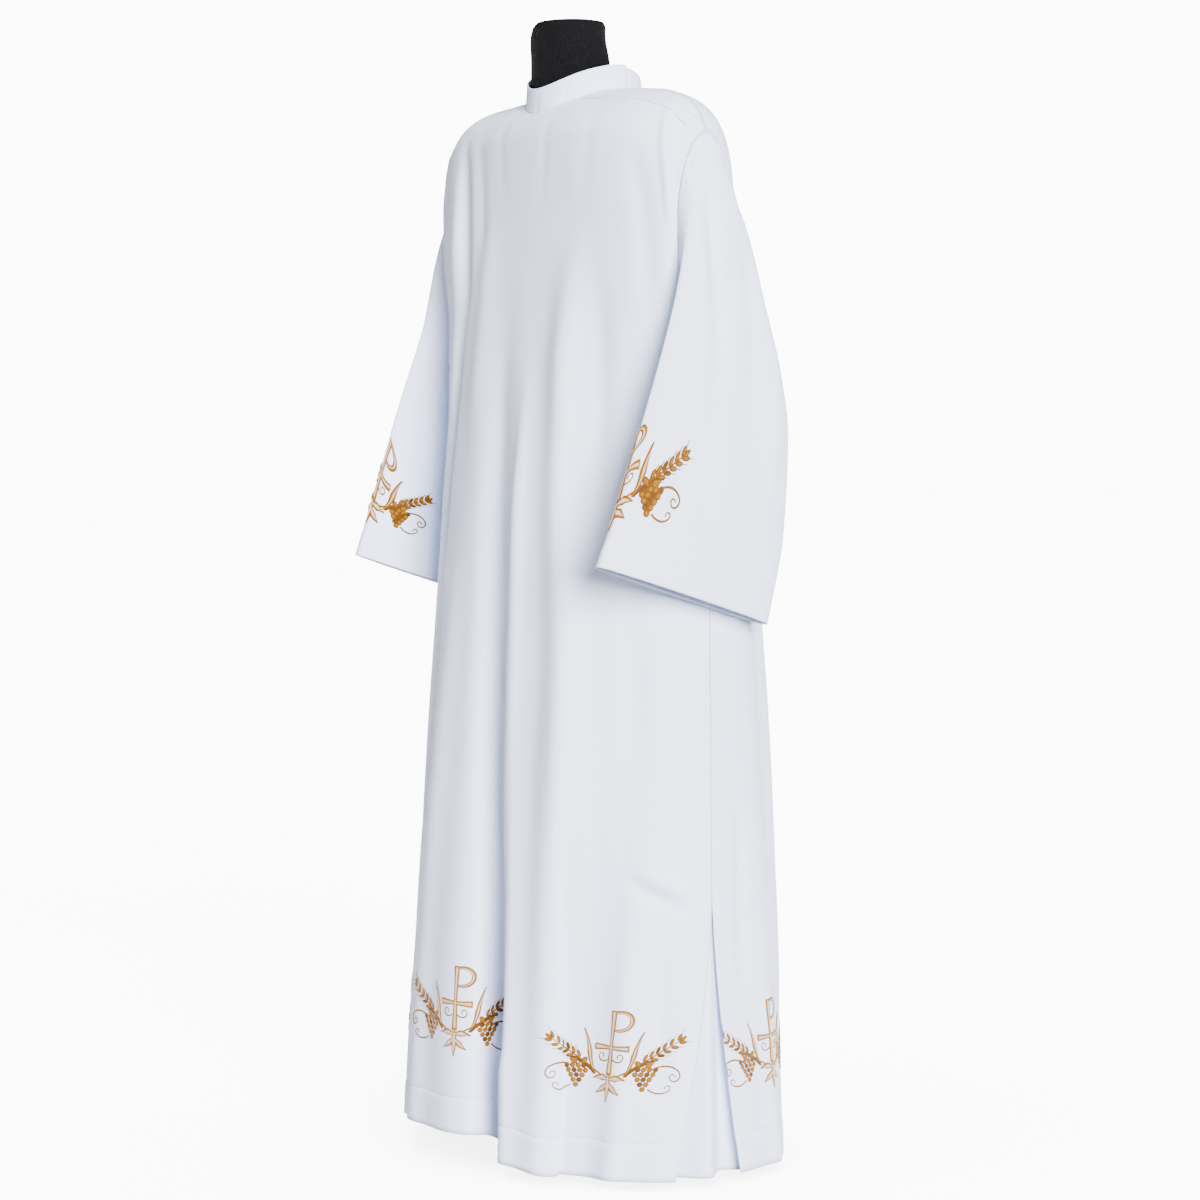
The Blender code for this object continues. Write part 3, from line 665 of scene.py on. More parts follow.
# %% Make the front and the back
PANEL_ACROSS = 177
LOW_ROWS = 130
HIGH_ROWS = 65
TOP_CROWDING = 1.5
HEM_EDGE_ROWS = (-0.0030, -0.0015, -0.0004, 0.0004, 0.0015, 0.0030)
ROWS_APART = 0.0015
HEM_STEP = 0.0009
HEM_GROOVE = 0.0012
HEM_GROOVE_WIDTH = 0.002
FRONT_CREASES = creases_from((
    (-30, 1260, 78, -400, 6, 24, -20),
    (88, 1290, 150, 640, 0, 24, 10),
    (34, 1160, 92, 120, 0, 15, 10),
    (140, 1000, 226, -550, 0, 30, 22),
    (-158, 1430, -140, 1120, 4, 12, -11),
    (-146, 1200, -156, 740, -4, 14, -13),
    (-154, 840, -165, 400, 5, 16, -7),
    (-176, 1400, -172, 900, 3, 12, 4),
    (-118, 1425, -96, 1220, 4, 12, -2.5),
    (-80, 1330, -66, 940, -6, 24, 5),
    (-100, 900, -120, 300, 8, 30, 4),
    (150, 1240, 188, 840, 4, 17, -5),
    (112, 1300, 135, 900, -5, 20, 4),
    (232, 860, 276, 220, 7, 19, -5),
    (130, 1000, 190, 330, 6, 24, 3),
    (205, 760, 222, 250, -6, 16, 3),
    (262, 418, 384, 368, -5, 8, -6),
    (280, 432, 376, 394, -4, 9, 5),
    (46, 1460, 36, 1290, 3, 10, -0.9),
    (134, 1466, 116, 1300, 4, 12, -1),
    (-60, 1460, -40, 1300, -4, 12, -1),
    (236, 1450, 262, 1250, 6, 7, 6),
    (256, 1440, 280, 1260, 4, 6, -4),
    (200, 1400, 232, 1120, 8, 16, -4),
    (-236, 1440, -258, 1260, -6, 9, 5),
    (-212, 1400, -230, 1100, -6, 16, -4),
    (-250, 900, -290, 300, -8, 22, -5),
    (-290, 430, -378, 372, 5, 7, -4),
    (330, 330, 352, 80, 4, 13, -4),
    (118, 190, 112, 20, 2, 7, 4),
))
BACK_CREASES = creases_from((
    (352, 540, 380, 200, 4, 12, -5),
    (372, 350, 286, 392, 5, 7, -4),
    (250, 900, 290, 300, 8, 22, -5),
    (110, 1320, 170, 660, 8, 20, -6),
    (50, 1250, 62, 700, -6, 24, 5),
    (-16, 1380, -6, 860, 5, 18, -5),
    (-124, 1330, -176, 620, -8, 20, -6),
    (-70, 1200, -92, 500, 6, 26, 4),
    (-250, 860, -300, 260, -6, 20, -4),
    (205, 1420, 228, 1120, 6, 14, -4),
    (-210, 1410, -232, 1100, -7, 15, -4),
    (180, 560, 196, 80, 6, 18, 4),
    (-60, 520, -50, 60, -4, 20, -5),
    (-360, 430, -290, 380, 4, 8, -3),
))


def panel_rows():
    """Heights of the level rows, closer at the hem's edge, and shares of the rise above."""
    low = np.linspace(HEM_Z, UNDERARM_Z, LOW_ROWS)
    near_hem = HEM_Z + HEM_DEPTH + np.array(HEM_EDGE_ROWS)
    apart = np.min(np.abs(low[:, None] - near_hem[None, :]), axis=1)
    low = np.sort(np.concatenate((low[apart > ROWS_APART], near_hem)))
    return low, 1.0 - (1.0 - np.linspace(0.0, 1.0, HIGH_ROWS)[1:]) ** TOP_CROWDING


def panel_points(face, folds, creases):
    places = np.linspace(-1.0, 1.0, PANEL_ACROSS)
    low, high = panel_rows()
    rows = [low_row(z, places, face) for z in low]
    rows += [high_row(rise, places, face) for rise in high]
    points = np.array(rows)
    grid_places = np.broadcast_to(places, points.shape[:2])
    lift = fold_height(grid_places, points[:, :, 2], folds)
    points = carried_forward(points + (normals_of(points) * -face) * lift[:, :, None])
    across = flat_map(points, PANEL_ACROSS // 2)[:, :, 0]
    lift = crease_height(across, points[:, :, 2], creases)
    level = np.concatenate((low, high + 2.0)) - HEM_Z - HEM_DEPTH
    groove = HEM_GROOVE * np.exp(-(level / HEM_GROOVE_WIDTH) ** 2)
    hem = HEM_STEP * smooth(0.0003, -0.0003, level) - groove
    return points + (normals_of(points) * -face) * (lift + hem[:, None])[:, :, None]


front_points = panel_points(-1, FRONT_FOLDS, FRONT_CREASES)
back_points = panel_points(1, BACK_FOLDS, BACK_CREASES)
front = cloth_piece("front", front_points, white_cloth, -1)
back = cloth_piece("back", back_points, white_cloth, 1)
print("front grid:", front_points.shape, "back grid:", back_points.shape)

# %% [markdown]
# ## The sleeves
# Each sleeve is one piece with its seam at the underarm. The shoulder seam drops
# a little way down the arm, and the sleeve widens to a deep cuff with a hem. A
# flat sheet could be rolled up by hand, but loops give the tube at once, with
# extra ones where the cuff's hem makes a step.

# %% Make the sleeves
SLEEVE_SIDES = {"left_sleeve": 1.0, "right_sleeve": -1.0}
SLEEVE_ROUND = 112
SLEEVE_ALONG = (*np.linspace(0.0, 0.928, 110), 0.9305, 0.9325, *np.linspace(0.936, 1.0, 12))
CUFF_HEM_FROM = 0.930
CUFF_HEM_TO = 0.933
CUFF_STEP = 0.0005
SLEEVE_CREASES = creases_from((
    (16, 600, 10, 200, 6, 11, -5),
    (40, 560, 52, 240, -4, 14, 3),
    (-40, 540, -60, 160, 5, 16, -4),
    (-76, 440, -104, 100, -4, 14, 3),
    (80, 400, 108, 80, 5, 17, -3),
    (100, 330, 20, 270, 8, 9, -3),
    (-10, 250, -30, 70, 3, 18, 3),
    (50, 200, 64, 60, -3, 13, -3),
    (60, 590, 20, 500, 4, 8, -3),
    (-64, 586, -30, 500, -4, 8, -3),
))


def sleeve_points(side):
    angles = (np.arange(SLEEVE_ROUND) * 2.0 / SLEEVE_ROUND - 1.0) * pi
    grid_along, grid_angles = np.meshgrid(SLEEVE_ALONG, angles, indexing="ij")
    points = carried_forward(sleeve_loops(grid_along, grid_angles, side))
    points[:, :, 0] += side * SEAM_GAP
    flat = flat_map(points, SLEEVE_ROUND // 2)
    above_cuff = flat[-1:, :, 1] - flat[:, :, 1]
    lift = crease_height(flat[:, :, 0], above_cuff, SLEEVE_CREASES)
    lift = lift * smooth(0.0, 0.03, grid_along)
    lift = lift + CUFF_STEP * smooth(CUFF_HEM_FROM, CUFF_HEM_TO, grid_along)
    return points + normals_of(points, True) * side * lift[:, :, None]


sleeve_grids = {name: sleeve_points(side) for name, side in SLEEVE_SIDES.items()}
sleeves = {name: cloth_piece(name, grid, white_cloth, SLEEVE_SIDES[name], ring=True)
           for name, grid in sleeve_grids.items()}
print("sleeve grid:", sleeve_grids["left_sleeve"].shape)

# %% [markdown]
# ## The collar and the shoulder placket
# The stand collar is a plain band, closed at the left shoulder. The placket is
# the strip of double cloth along that shoulder, where the robe opens. The band
# could be a bent rectangle, but rows raised from the neckline keep it sewn on all
# round. The placket is lifted from the front's own points for the same reason.

# %% Make the collar and the placket
COLLAR_HEIGHT = 0.034
COLLAR_LEAN = 0.002
COLLAR_SLIT = 0.014
COLLAR_WALL = 0.0014
COLLAR_ROUND = 161
COLLAR_ROWS = 17
OPENING_AT = 9.0 * pi / 16.0
END_RISE = 0.0022
END_LEAN = 0.003
TUCKS = ((2.0, -0.0010), (38.0, -0.0012), (50.0, 0.0008), (-60.0, -0.0008))
TUCK_WIDTH = 0.05


def collar_points():
    angles = OPENING_AT + np.linspace(COLLAR_SLIT, 2.0 * pi - COLLAR_SLIT, COLLAR_ROUND)
    base = neck_edge(np.arctan2(np.sin(angles), np.cos(angles)))
    out = np.stack((np.sin(angles), -np.cos(angles), 0.0 * angles), axis=1)
    end = smooth(0.90, 1.0, np.linspace(0.0, 1.0, COLLAR_ROUND))[:, None]
    tucks = sum(depth * np.exp(-((angles - 2.0 * pi - radians(turn)) / TUCK_WIDTH) ** 2)
                for turn, depth in TUCKS)
    rows = []
    for share in np.linspace(0.0, 1.0, COLLAR_ROWS):
        up = np.array((0.0, 0.0, SEAM_GAP + COLLAR_HEIGHT * share)) + end * (0.0, 0.0, END_RISE)
        lean = COLLAR_LEAN * share - (tucks * (1.0 - share))[:, None] - END_LEAN * end
        rows.append(base + up - out * lean)
    return np.array(rows)


collar_grid = collar_points()
collar = cloth_piece("collar", collar_grid, white_cloth, 1, wall=COLLAR_WALL)
print("collar grid:", collar_grid.shape)

# %% Make the placket
PLACKET_ROWS = 9
PLACKET_LIFT = 0.0012
PLACKET_WALL = 0.0009
placket_first = int(round((1.0 + NECK_SHARE) * 0.5 * (PANEL_ACROSS - 1)))
shoulder_rows = front_points[-PLACKET_ROWS:]
strip_grid = (shoulder_rows + normals_of(shoulder_rows) * PLACKET_LIFT)[:, placket_first:-3]
placket = cloth_piece("shoulder_strip", strip_grid, white_cloth, -1, wall=PLACKET_WALL)
print("strip, metres along and across:", flat_map(strip_grid, 0)[-1, -1].round(3))

# %% [markdown]
# ## The side pleats
# Below the hip each side seam opens, and an inset of cloth stands in the gap. It
# folds outward into a ridge along its middle. A folded strip could be pushed in
# behind the seam, but drawing it from the panels' own section keeps it touching
# them all the way down.

# %% Make the pleats
PLEAT_UNDERLAY = 0.022
PLEAT_BEHIND = {1.0: 0.0044, -1.0: 0.0024}
PLEAT_ROWS = 60
PLEAT_ACROSS = 61
PLEAT_INSET_TOP_Z = 0.368
PLEAT_MARGIN = 0.004
PLEAT_DIP = 0.024
RIGHT_HEM_RISE = 0.020


def pleat_points(side):
    place = np.linspace(-1.0, 1.0, PLEAT_ACROSS)
    rows = []
    for z in np.linspace(HEM_Z, PLEAT_INSET_TOP_Z, PLEAT_ROWS):
        share = pleat_share(z)
        half = pleat_half_opening(z) + PLEAT_UNDERLAY * min(share * 3.0, 1.0) + PLEAT_MARGIN
        y = place * half
        depth = np.where(y < 0.0, body_at["front"](z), body_at["back"](z))
        power = np.where(y < 0.0, power_of(side, z, -1), power_of(side, z, 1))
        flat = body_at["half_width"](z) * (1.0 - (np.abs(y) / depth) ** power) ** (1.0 / power)
        dip = PLEAT_DIP * share * np.sin(pi * np.abs(place)) ** 2
        x = side * (flat - PLEAT_BEHIND[side] - dip) + body_at["centre_x"](z)
        level = z + (RIGHT_HEM_RISE * smooth(LIFT_TOP_Z, HEM_Z, z) if side < 0.0 else 0.0)
        rows.append(np.stack((x, y, np.full(PLEAT_ACROSS, level)), axis=1))
    return np.array(rows)


pleats = {name: cloth_piece(name, pleat_points(side), white_cloth, side)
          for name, side in (("left_pleat", 1.0), ("right_pleat", -1.0))}
print("pleats:", list(pleats))

# %% [markdown]
# ## The dress form
# A limbless form covered in black jersey carries the robe. Only its neck shows.
# It could be sculpted, but level ovals from the hips to the neck are enough, and
# finer ones than the solid has give it a smooth edge.

# %% Make the dress form
Ring = namedtuple("Ring", "z centre_y half_width half_depth power")
FORM = table(Ring, (
    (0.780, 0.010, 0.150, 0.104, 2.2),
    (0.785, 0.010, 0.156, 0.110, 2.2),
    (0.870, 0.008, 0.166, 0.116, 2.2),
    (0.970, 0.004, 0.152, 0.108, 2.2),
    (1.060, 0.000, 0.130, 0.094, 2.2),
    (1.140, 0.000, 0.136, 0.096, 2.2),
    (1.220, 0.002, 0.152, 0.100, 2.2),
    (1.300, 0.002, 0.164, 0.100, 2.2),
    (1.360, 0.002, 0.176, 0.096, 2.2),
    (1.400, 0.000, 0.186, 0.086, 2.2),
    (1.425, -0.002, 0.190, 0.068, 2.1),
    (1.442, -0.004, 0.184, 0.050, 2.0),
    (1.459, -0.006, 0.165, 0.032, 2.0),
    (1.4625, -0.006, 0.140, 0.020, 2.0),
    (1.4645, -0.006, 0.110, 0.007, 2.0),
    (1.4660, -0.006, 0.085, 0.003, 2.0),
))
FORM_NECK = table(Ring, (
    (1.472, -0.033, 0.0575, 0.0535, 2.0),
    (1.510, -0.034, 0.0565, 0.0525, 2.0),
    (1.545, -0.038, 0.0540, 0.0500, 2.0),
    (1.558, -0.036, 0.0525, 0.0488, 2.0),
    (1.565, -0.034, 0.0480, 0.0448, 2.0),
))


FORM_ROUND = 96
FORM_LEVELS = (*np.linspace(0.780, 1.43, 60), *np.linspace(1.434, 1.466, 24),
               *np.linspace(1.472, 1.556, 30), *(1.565 - 0.009 * np.linspace(0.95, 0.0, 10) ** 2))
NECK_JOIN_Z = 1.430
NECK_START_Z = 1.470
WIDEST_REACH = 0.5


def oval_reach(angles, ring):
    """How far out a section's oval lies at each angle."""
    low = np.zeros(len(angles))
    high = np.full(len(angles), WIDEST_REACH)
    for _ in range(SEARCH_STEPS):
        reach = 0.5 * (low + high)
        x = np.abs(reach * np.cos(angles)) / ring.half_width
        y = np.abs(reach * np.sin(angles) - ring.centre_y) / ring.half_depth
        inside = x ** ring.power + y ** ring.power < 1.0
        low = np.where(inside, reach, low)
        high = np.where(inside, high, reach)
    return low


def form_points():
    angles = np.arange(FORM_ROUND) * 2.0 * pi / FORM_ROUND
    form_at = curves_of(FORM, "z")
    neck_at = curves_of(FORM_NECK, "z")
    rows = []
    for z in FORM_LEVELS:
        part_at = form_at if z < NECK_START_Z else neck_at
        reach = oval_reach(angles, Ring(*[part_at[name](z) for name in Ring._fields]))
        if NECK_JOIN_Z < z < NECK_START_Z:
            reach = np.maximum(reach, oval_reach(angles, FORM_NECK[0]))
        rows.append(np.stack((reach * np.cos(angles), reach * np.sin(angles), np.full(FORM_ROUND, z)),
                             axis=1))
    return carried_forward(np.array(rows))


form_rows = form_points()
print("dress form rows:", form_rows.shape)

# %% Cover it in black jersey
FORM_SHARP_ANGLE = radians(50.0)


def jersey_finish():
    finish = Finish("black jersey", Roughness=0.9, Specular_IOR_Level=0.04)
    place = finish.node("ShaderNodeTexCoord", {}, {}, 3)
    wales = finish.wave(place, 0.0016, "X")
    courses = finish.wave(place, 0.0012, "Z")
    pills = finish.noise(place, 0.006)
    finish.bump(wales * 0.5 + courses * 0.5 + pills * 0.6, 0.0005)
    deep, pale = (0.0015, 0.0015, 0.0018), (0.006, 0.006, 0.007)
    finish.feed("Base Color", finish.two_tone(deep, pale, pills))
    return finish.material


index = np.arange(form_rows.shape[0] * FORM_ROUND).reshape(-1, FORM_ROUND)
right = np.roll(index, -1, axis=1)
quads = np.stack((index[:-1], right[:-1], right[1:], index[1:]), axis=2).reshape(-1, 4).tolist()
quads += [index[0, ::-1].tolist(), index[-1].tolist()]
dress_form = mesh_object("dress_form", form_rows.reshape(-1, 3), quads, [jersey_finish()])
dress_form.data.set_sharp_from_angle(angle=FORM_SHARP_ANGLE)
print("dress form faces:", len(quads))

# %% [markdown]
# ## Sewing thread
# The hems, the cuffs, the collar and the shoulder strip are topstitched. Thread
# could be an image or a curve with a bevel, but a curve for each stitch is slow
# and an image has no height. So each stitch is a small raised grain of eight
# points, and all the stitches of one piece are one mesh.

# %% One row of stitches
STITCH_PITCH = 0.0032
STITCH_LENGTH = 0.0024
STITCH_WIDTH = 0.0007
STITCH_RISE = 0.0004


def stitch_mesh(name, lines, material):
    """lines holds pairs of points along the cloth and its outward normals there."""
    vertices, faces = [], []
    for points, normals in lines:
        steps = np.linalg.norm(np.diff(points, axis=0), axis=1)
        reach = np.concatenate(([0.0], np.cumsum(steps)))
        middles = np.arange(STITCH_PITCH, reach[-1] - STITCH_PITCH, STITCH_PITCH)

        def at(distance, values):
            return np.stack([np.interp(distance, reach, values[:, k]) for k in range(3)], axis=1)

        middle = at(middles, points)
        ahead = at(middles + 0.5 * STITCH_LENGTH, points) - middle
        out = at(middles, normals)
        out = out / np.linalg.norm(out, axis=1, keepdims=True)
        aside = np.cross(out, ahead)
        aside = aside / np.linalg.norm(aside, axis=1, keepdims=True) * 0.5 * STITCH_WIDTH
        corners = np.stack((middle - ahead, middle - ahead * 0.5 + aside, middle - ahead * 0.5 - aside,
                            middle + ahead * 0.5 + aside, middle + ahead * 0.5 - aside, middle + ahead,
                            middle - ahead * 0.45 + out * STITCH_RISE,
                            middle + ahead * 0.45 + out * STITCH_RISE), axis=1)
        start = sum(len(part) for part in vertices)
        pattern = np.array(((0, 1, 6), (0, 6, 2), (1, 3, 7), (1, 7, 6), (2, 6, 7), (2, 7, 4),
                            (3, 5, 7), (5, 4, 7)))
        index = start + 8 * np.arange(len(middles))[:, None, None] + pattern[None, :, :]
        vertices.append(corners.reshape(-1, 3))
        faces.append(index.reshape(-1, 3))
    return mesh_object(name, np.concatenate(vertices), np.concatenate(faces).tolist(), [material])


print("stitches in a metre:", round(1.0 / STITCH_PITCH))

# %% [markdown]
# ## The finish of thread
# Sewing thread is spun polyester, and embroidery thread is glossier rayon. Both
# are laid side by side, so ridges across the stitch and a slow drift of colour
# say thread at once. The ridges also paint a highlight on each strand and shade
# between strands into the colour. Modelling each strand would take far too many faces.

# %% Mix the thread finish


def thread_finish(name, light, dark, gloss):
    """Laid thread: fine ridges across the stitch, glossy along it. The same ridges paint a highlight on
    each strand and shade between strands into the colour.
    """
    finish = Finish(name, Roughness=gloss, Specular_IOR_Level=0.12)
    place = finish.cloth_place()
    strands = finish.wave(place, 0.0008, "X")
    drift = finish.noise(place, 0.006, (1.0, 0.4, 1.0))
    finish.bump(strands * 0.8 + drift * 0.4, 0.00025)
    # the strands wave in the colour is painted highlight on each strand and painted shade between strands;
    # the drift is the thread's own uneven tone
    finish.feed("Base Color", finish.two_tone(dark, light, 0.55 * drift + 0.45 * strands))
    return finish.material


sewing_thread = thread_finish("sewing thread", (0.72, 0.79, 0.94), (0.60, 0.68, 0.86), 0.5)
print("thread nodes:", len(sewing_thread.node_tree.nodes))

# %% Sew the seams
HEM_STITCHES_BELOW = 0.003


def seam(grid, facing, where):
    """A line of the grid, with the outward normals of the cloth along it."""
    return grid[where], (normals_of(grid) * facing)[where]


hem_row = int(np.searchsorted(panel_rows()[0], HEM_Z + HEM_DEPTH - HEM_STITCHES_BELOW)) - 1
hem = np.s_[hem_row, 3:-3]
side_rows = slice(60, 125)
seams = {
    "front": [seam(front_points, 1, hem), seam(front_points, 1, np.s_[side_rows, 2]),
              seam(front_points, 1, np.s_[side_rows, -3])],
    "back": [seam(back_points, -1, hem)],
}
for name, side in SLEEVE_SIDES.items():
    closed = np.concatenate((sleeve_grids[name], sleeve_grids[name][:, :1]), axis=1)
    seams[name] = [seam(closed, side, -11), seam(closed, side, 3)]
for name, grid in (("collar", collar_grid), ("strip", strip_grid)):
    seams[name] = [seam(grid, 1, np.s_[row, 1:-1]) for row in (1, -2)]
stitches = {name: stitch_mesh(name + "_stitches", lines, sewing_thread) for name, lines in seams.items()}
print("stitch meshes:", {name: len(piece.data.vertices) // 8 for name, piece in stitches.items()})

# %% [markdown]
# ## The embroidery
# A cross with a loop at its head stands on a vine leaf, between blades, wheat and
# grapes. Each part is laid in satin stitch: a domed ribbon, or a small domed
# oval, with a darker edge below it. It could be an image on the cloth, but then
# it would not catch the light. The tables are in millimetres. A part with two
# sides is given once, and its mirror image is added.

# %% Draw the ornament flat
Stroke = namedtuple("Stroke", "x y x1 y1 x2 y2 end_x end_y start middle end thread sides")
WHEAT_STEM = Stroke(30, 40, 50, 52, 70, 64, 98, 84, 1.8, 1.6, 1.0, "tan", 2)
STROKES = table(Stroke, (
    (0, 31, 0, 60, 0, 90, 0, 119, 9.0, 4.6, 8.6, "gold", 1),
    (0, 34, 0, 60, 0, 90, 0, 117, 5.6, 2.0, 5.4, "cream", 1),
    (-26, 68, -9, 68, 9, 68, 26, 68, 9.0, 4.4, 9.0, "gold", 1),
    (-24, 68, -9, 68, 9, 68, 24, 68, 5.6, 1.8, 5.6, "cream", 1),
    (2, 116, 33, 125, 35, 88, 2, 92, 3.4, 6.4, 3.2, "gold", 1),
    (4, 116, 31, 122, 33, 90, 4, 92, 1.0, 3.4, 1.0, "cream", 1),
    (0, 25, 8, 27, 14, 29, 25, 25, 3.0, 9.0, 0.5, "gold", 2),
    (1, 25, 8, 27, 14, 28, 21, 25, 1.6, 6.6, 0.3, "cream", 2),
    (0, 20, 6, 14, 10, 10, 19, 5, 3.0, 8.6, 0.5, "gold", 2),
    (1, 19, 6, 14, 10, 11, 16, 7, 1.6, 6.2, 0.3, "cream", 2),
    (0, 32, 0, 20, 0, 10, 0, -6, 2.4, 9.4, 0.5, "gold", 1),
    (0, 30, 0, 20, 0, 10, 0, -2, 1.2, 7.0, 0.3, "cream", 1),
    (22, 30, 36, 50, 30, 66, 44, 92, 1.6, 7.0, 0.8, "gold", 2),
    (26, 38, 35, 54, 31, 66, 42, 86, 0.6, 3.6, 0.4, "cream", 2),
    (24, 30, 38, 46, 52, 52, 66, 52, 1.4, 4.6, 0.7, "amber", 2),
    (14, 30, 18, 34, 24, 34, 30, 40, 1.6, 1.8, 1.8, "tan", 2),
    WHEAT_STEM,
    (60, 40, 76, 49, 93, 45, 97, 34, 1.7, 1.8, 1.3, "tan", 2),
    (97, 34, 99, 25, 87, 21, 84, 29, 1.4, 1.5, 1.0, "tan", 2),
    (84, 29, 82, 35, 91, 36, 91, 30, 1.1, 1.2, 0.8, "tan", 2),
    (4, 52, 12, 46, 20, 50, 18, 58, 1.4, 1.5, 1.0, "tan", 2),
    (18, 58, 15, 62, 9, 59, 12, 54, 1.1, 1.2, 0.8, "tan", 2),
    (56, 14, 66, 6, 80, 6, 86, 14, 1.5, 1.6, 1.1, "tan", 2),
    (86, 14, 88, 20, 78, 21, 79, 14, 1.1, 1.1, 0.8, "tan", 2),
    (47, 44, 44, 48, 40, 47, 36, 42, 1.6, 1.5, 1.2, "tan", 2),
))
Oval = namedtuple("Oval", "x y long wide turn thread sides")
OVALS = table(Oval, (
    (40, 47, 6.5, 3.8, 130, "gold", 2),
    (55, 47, 7.0, 3.8, 40, "gold", 2),
))
print("strokes:", len(STROKES), "ovals:", len(OVALS))

# %% Satin stitch in ribbons and domes
THREADS = ("edge", "gold", "amber", "cream", "tan")
RISE = {"edge": 0.0007, "gold": 0.0013, "amber": 0.0012, "cream": 0.0017, "tan": 0.0010}
SUNK = -0.0004
BOLD = {"gold": 1.3, "amber": 1.5, "cream": 1.15, "tan": 1.7}
STROKE_POINTS = 19
DOME_POINTS = 14
RIBBON_EDGE = 1.3
OVAL_EDGE_LONG = 1.2
OVAL_EDGE_WIDE = 1.1


def bezier(stroke, count):
    share = np.linspace(0.0, 1.0, count)[:, None]
    corners = np.array(((stroke.x, stroke.y), (stroke.x1, stroke.y1), (stroke.x2, stroke.y2),
                        (stroke.end_x, stroke.end_y)), dtype=float)
    weights = np.concatenate(((1 - share) ** 3, 3 * share * (1 - share) ** 2,
                              3 * share ** 2 * (1 - share), share ** 3), axis=1)
    return weights @ corners


class Ornament:
    """Domed ribbons and ovals, gathered flat as across, up and rise."""

    def __init__(self):
        self.points, self.maps, self.faces, self.threads = [], [], [], []
        self.count = 0

    def add(self, points, maps, faces, thread):
        self.points.append(points)
        self.maps.append(maps)
        self.faces += [[self.count + i for i in face] for face in faces]
        self.threads += [THREADS.index(thread)] * len(faces)
        self.count += len(points)

    def ribbon(self, line, widths, thread):
        ahead = np.gradient(line, axis=0)
        ahead = ahead / np.linalg.norm(ahead, axis=1, keepdims=True)
        aside = np.stack((-ahead[:, 1], ahead[:, 0]), axis=1)
        rise = RISE[thread]
        section = ((-1.0, SUNK), (-0.62, 0.75 * rise), (0.0, rise), (0.62, 0.75 * rise), (1.0, SUNK))
        reach = np.concatenate(([0.0], np.cumsum(np.linalg.norm(np.diff(line, axis=0), axis=1))))
        points, maps = [], []
        for place, height in section:
            flat = line + aside * (0.5 * place * widths)[:, None]
            points.append(np.column_stack((flat * 0.001, np.full(len(line), height))))
            maps.append(np.column_stack((reach, 0.5 * place * widths)) * 0.001)
        count = len(line)
        faces = [(j * count + i, (j + 1) * count + i, (j + 1) * count + i + 1, j * count + i + 1)
                 for j in range(4) for i in range(count - 1)]
        self.add(np.concatenate(points), np.concatenate(maps), faces, thread)

    def stroke(self, stroke):
        line = bezier(stroke, STROKE_POINTS)
        widths = np.interp(np.linspace(0.0, 1.0, STROKE_POINTS), (0.0, 0.5, 1.0),
                           (stroke.start, stroke.middle, stroke.end)) * BOLD[stroke.thread]
        for side in (1.0, -1.0)[:stroke.sides]:
            turned = line * (side, 1.0)
            if stroke.thread in ("gold", "amber"):
                self.ribbon(turned, widths + RIBBON_EDGE, "edge")
            self.ribbon(turned, widths, stroke.thread)

    def dome(self, x, y, long, wide, turn, thread):
        around = np.arange(DOME_POINTS) * 2.0 * pi / DOME_POINTS
        rise = RISE[thread]
        points, maps = [], []
        for size, height in ((1.0, SUNK), (0.72, 0.7 * rise), (0.3, rise)):
            a, b = long * size * np.cos(around), wide * size * np.sin(around)
            turned = np.column_stack((x + a * cos(turn) - b * sin(turn), y + a * sin(turn) + b * cos(turn)))
            points.append(np.column_stack((turned * 0.001, np.full(DOME_POINTS, height))))
            maps.append(np.column_stack((a, b)) * 0.001)
        index = np.arange(3 * DOME_POINTS).reshape(3, DOME_POINTS)
        after = np.roll(index, -1, axis=1)
        faces = np.stack((index[:-1], after[:-1], after[1:], index[1:]), axis=2).reshape(-1, 4).tolist()
        faces.append(index[2].tolist())
        self.add(np.concatenate(points), np.concatenate(maps), faces, thread)

    def oval(self, oval):
        for side in (1.0, -1.0)[:oval.sides]:
            turn = radians(oval.turn if side > 0.0 else 180.0 - oval.turn)
            self.dome(oval.x * side, oval.y, oval.long + OVAL_EDGE_LONG, oval.wide + OVAL_EDGE_WIDE, turn,
                      "edge")
            self.dome(oval.x * side, oval.y, oval.long, oval.wide, turn, oval.thread)


ornament = Ornament()
for oval in OVALS:
    ornament.oval(oval)
for stroke in STROKES:
    ornament.stroke(stroke)
print("points without the fruits:", ornament.count)

# %% [markdown]
# ## Wheat and grapes
# An ear of wheat is pairs of grains along a stem, each with a thin beard, and a
# bunch of grapes is rows of round domes that grow shorter downwards. Typing each
# grain into the table would work too, but a rule for their places is shorter and
# keeps them even.

# %% Add the wheat and the grapes
STEM_POINTS = 41
GRAIN_FIRST = 11
GRAIN_EVERY = 5
GRAIN_PAIRS = 6
GRAIN_LONG = 5.6
GRAIN_WIDE = 2.1
GRAIN_LEAN = radians(31.0)
GRAIN_ASIDE = 1.5
BEARD_FROM = 5.0
BEARD_TO = 13.0
DARK_PAIR = 2
GRAPES_X = 49.0
GRAPE_ROWS = ((40.0, 4), (33.4, 4), (26.8, 3), (20.2, 2), (13.6, 1))
GRAPE_GAP = 8.0
GRAPE_SHIFT = 3.0


def grapes():
    for row, (height, count) in enumerate(GRAPE_ROWS):
        for i in range(count):
            x = GRAPES_X + (i - 0.5 * (count - 1)) * GRAPE_GAP + (GRAPE_SHIFT if row == 0 else 0.0)
            thread = "gold" if (i + row) % 3 else "amber"
            ornament.oval(Oval(x, height, 3.8, 3.4, 20.0 * i, thread, 2))


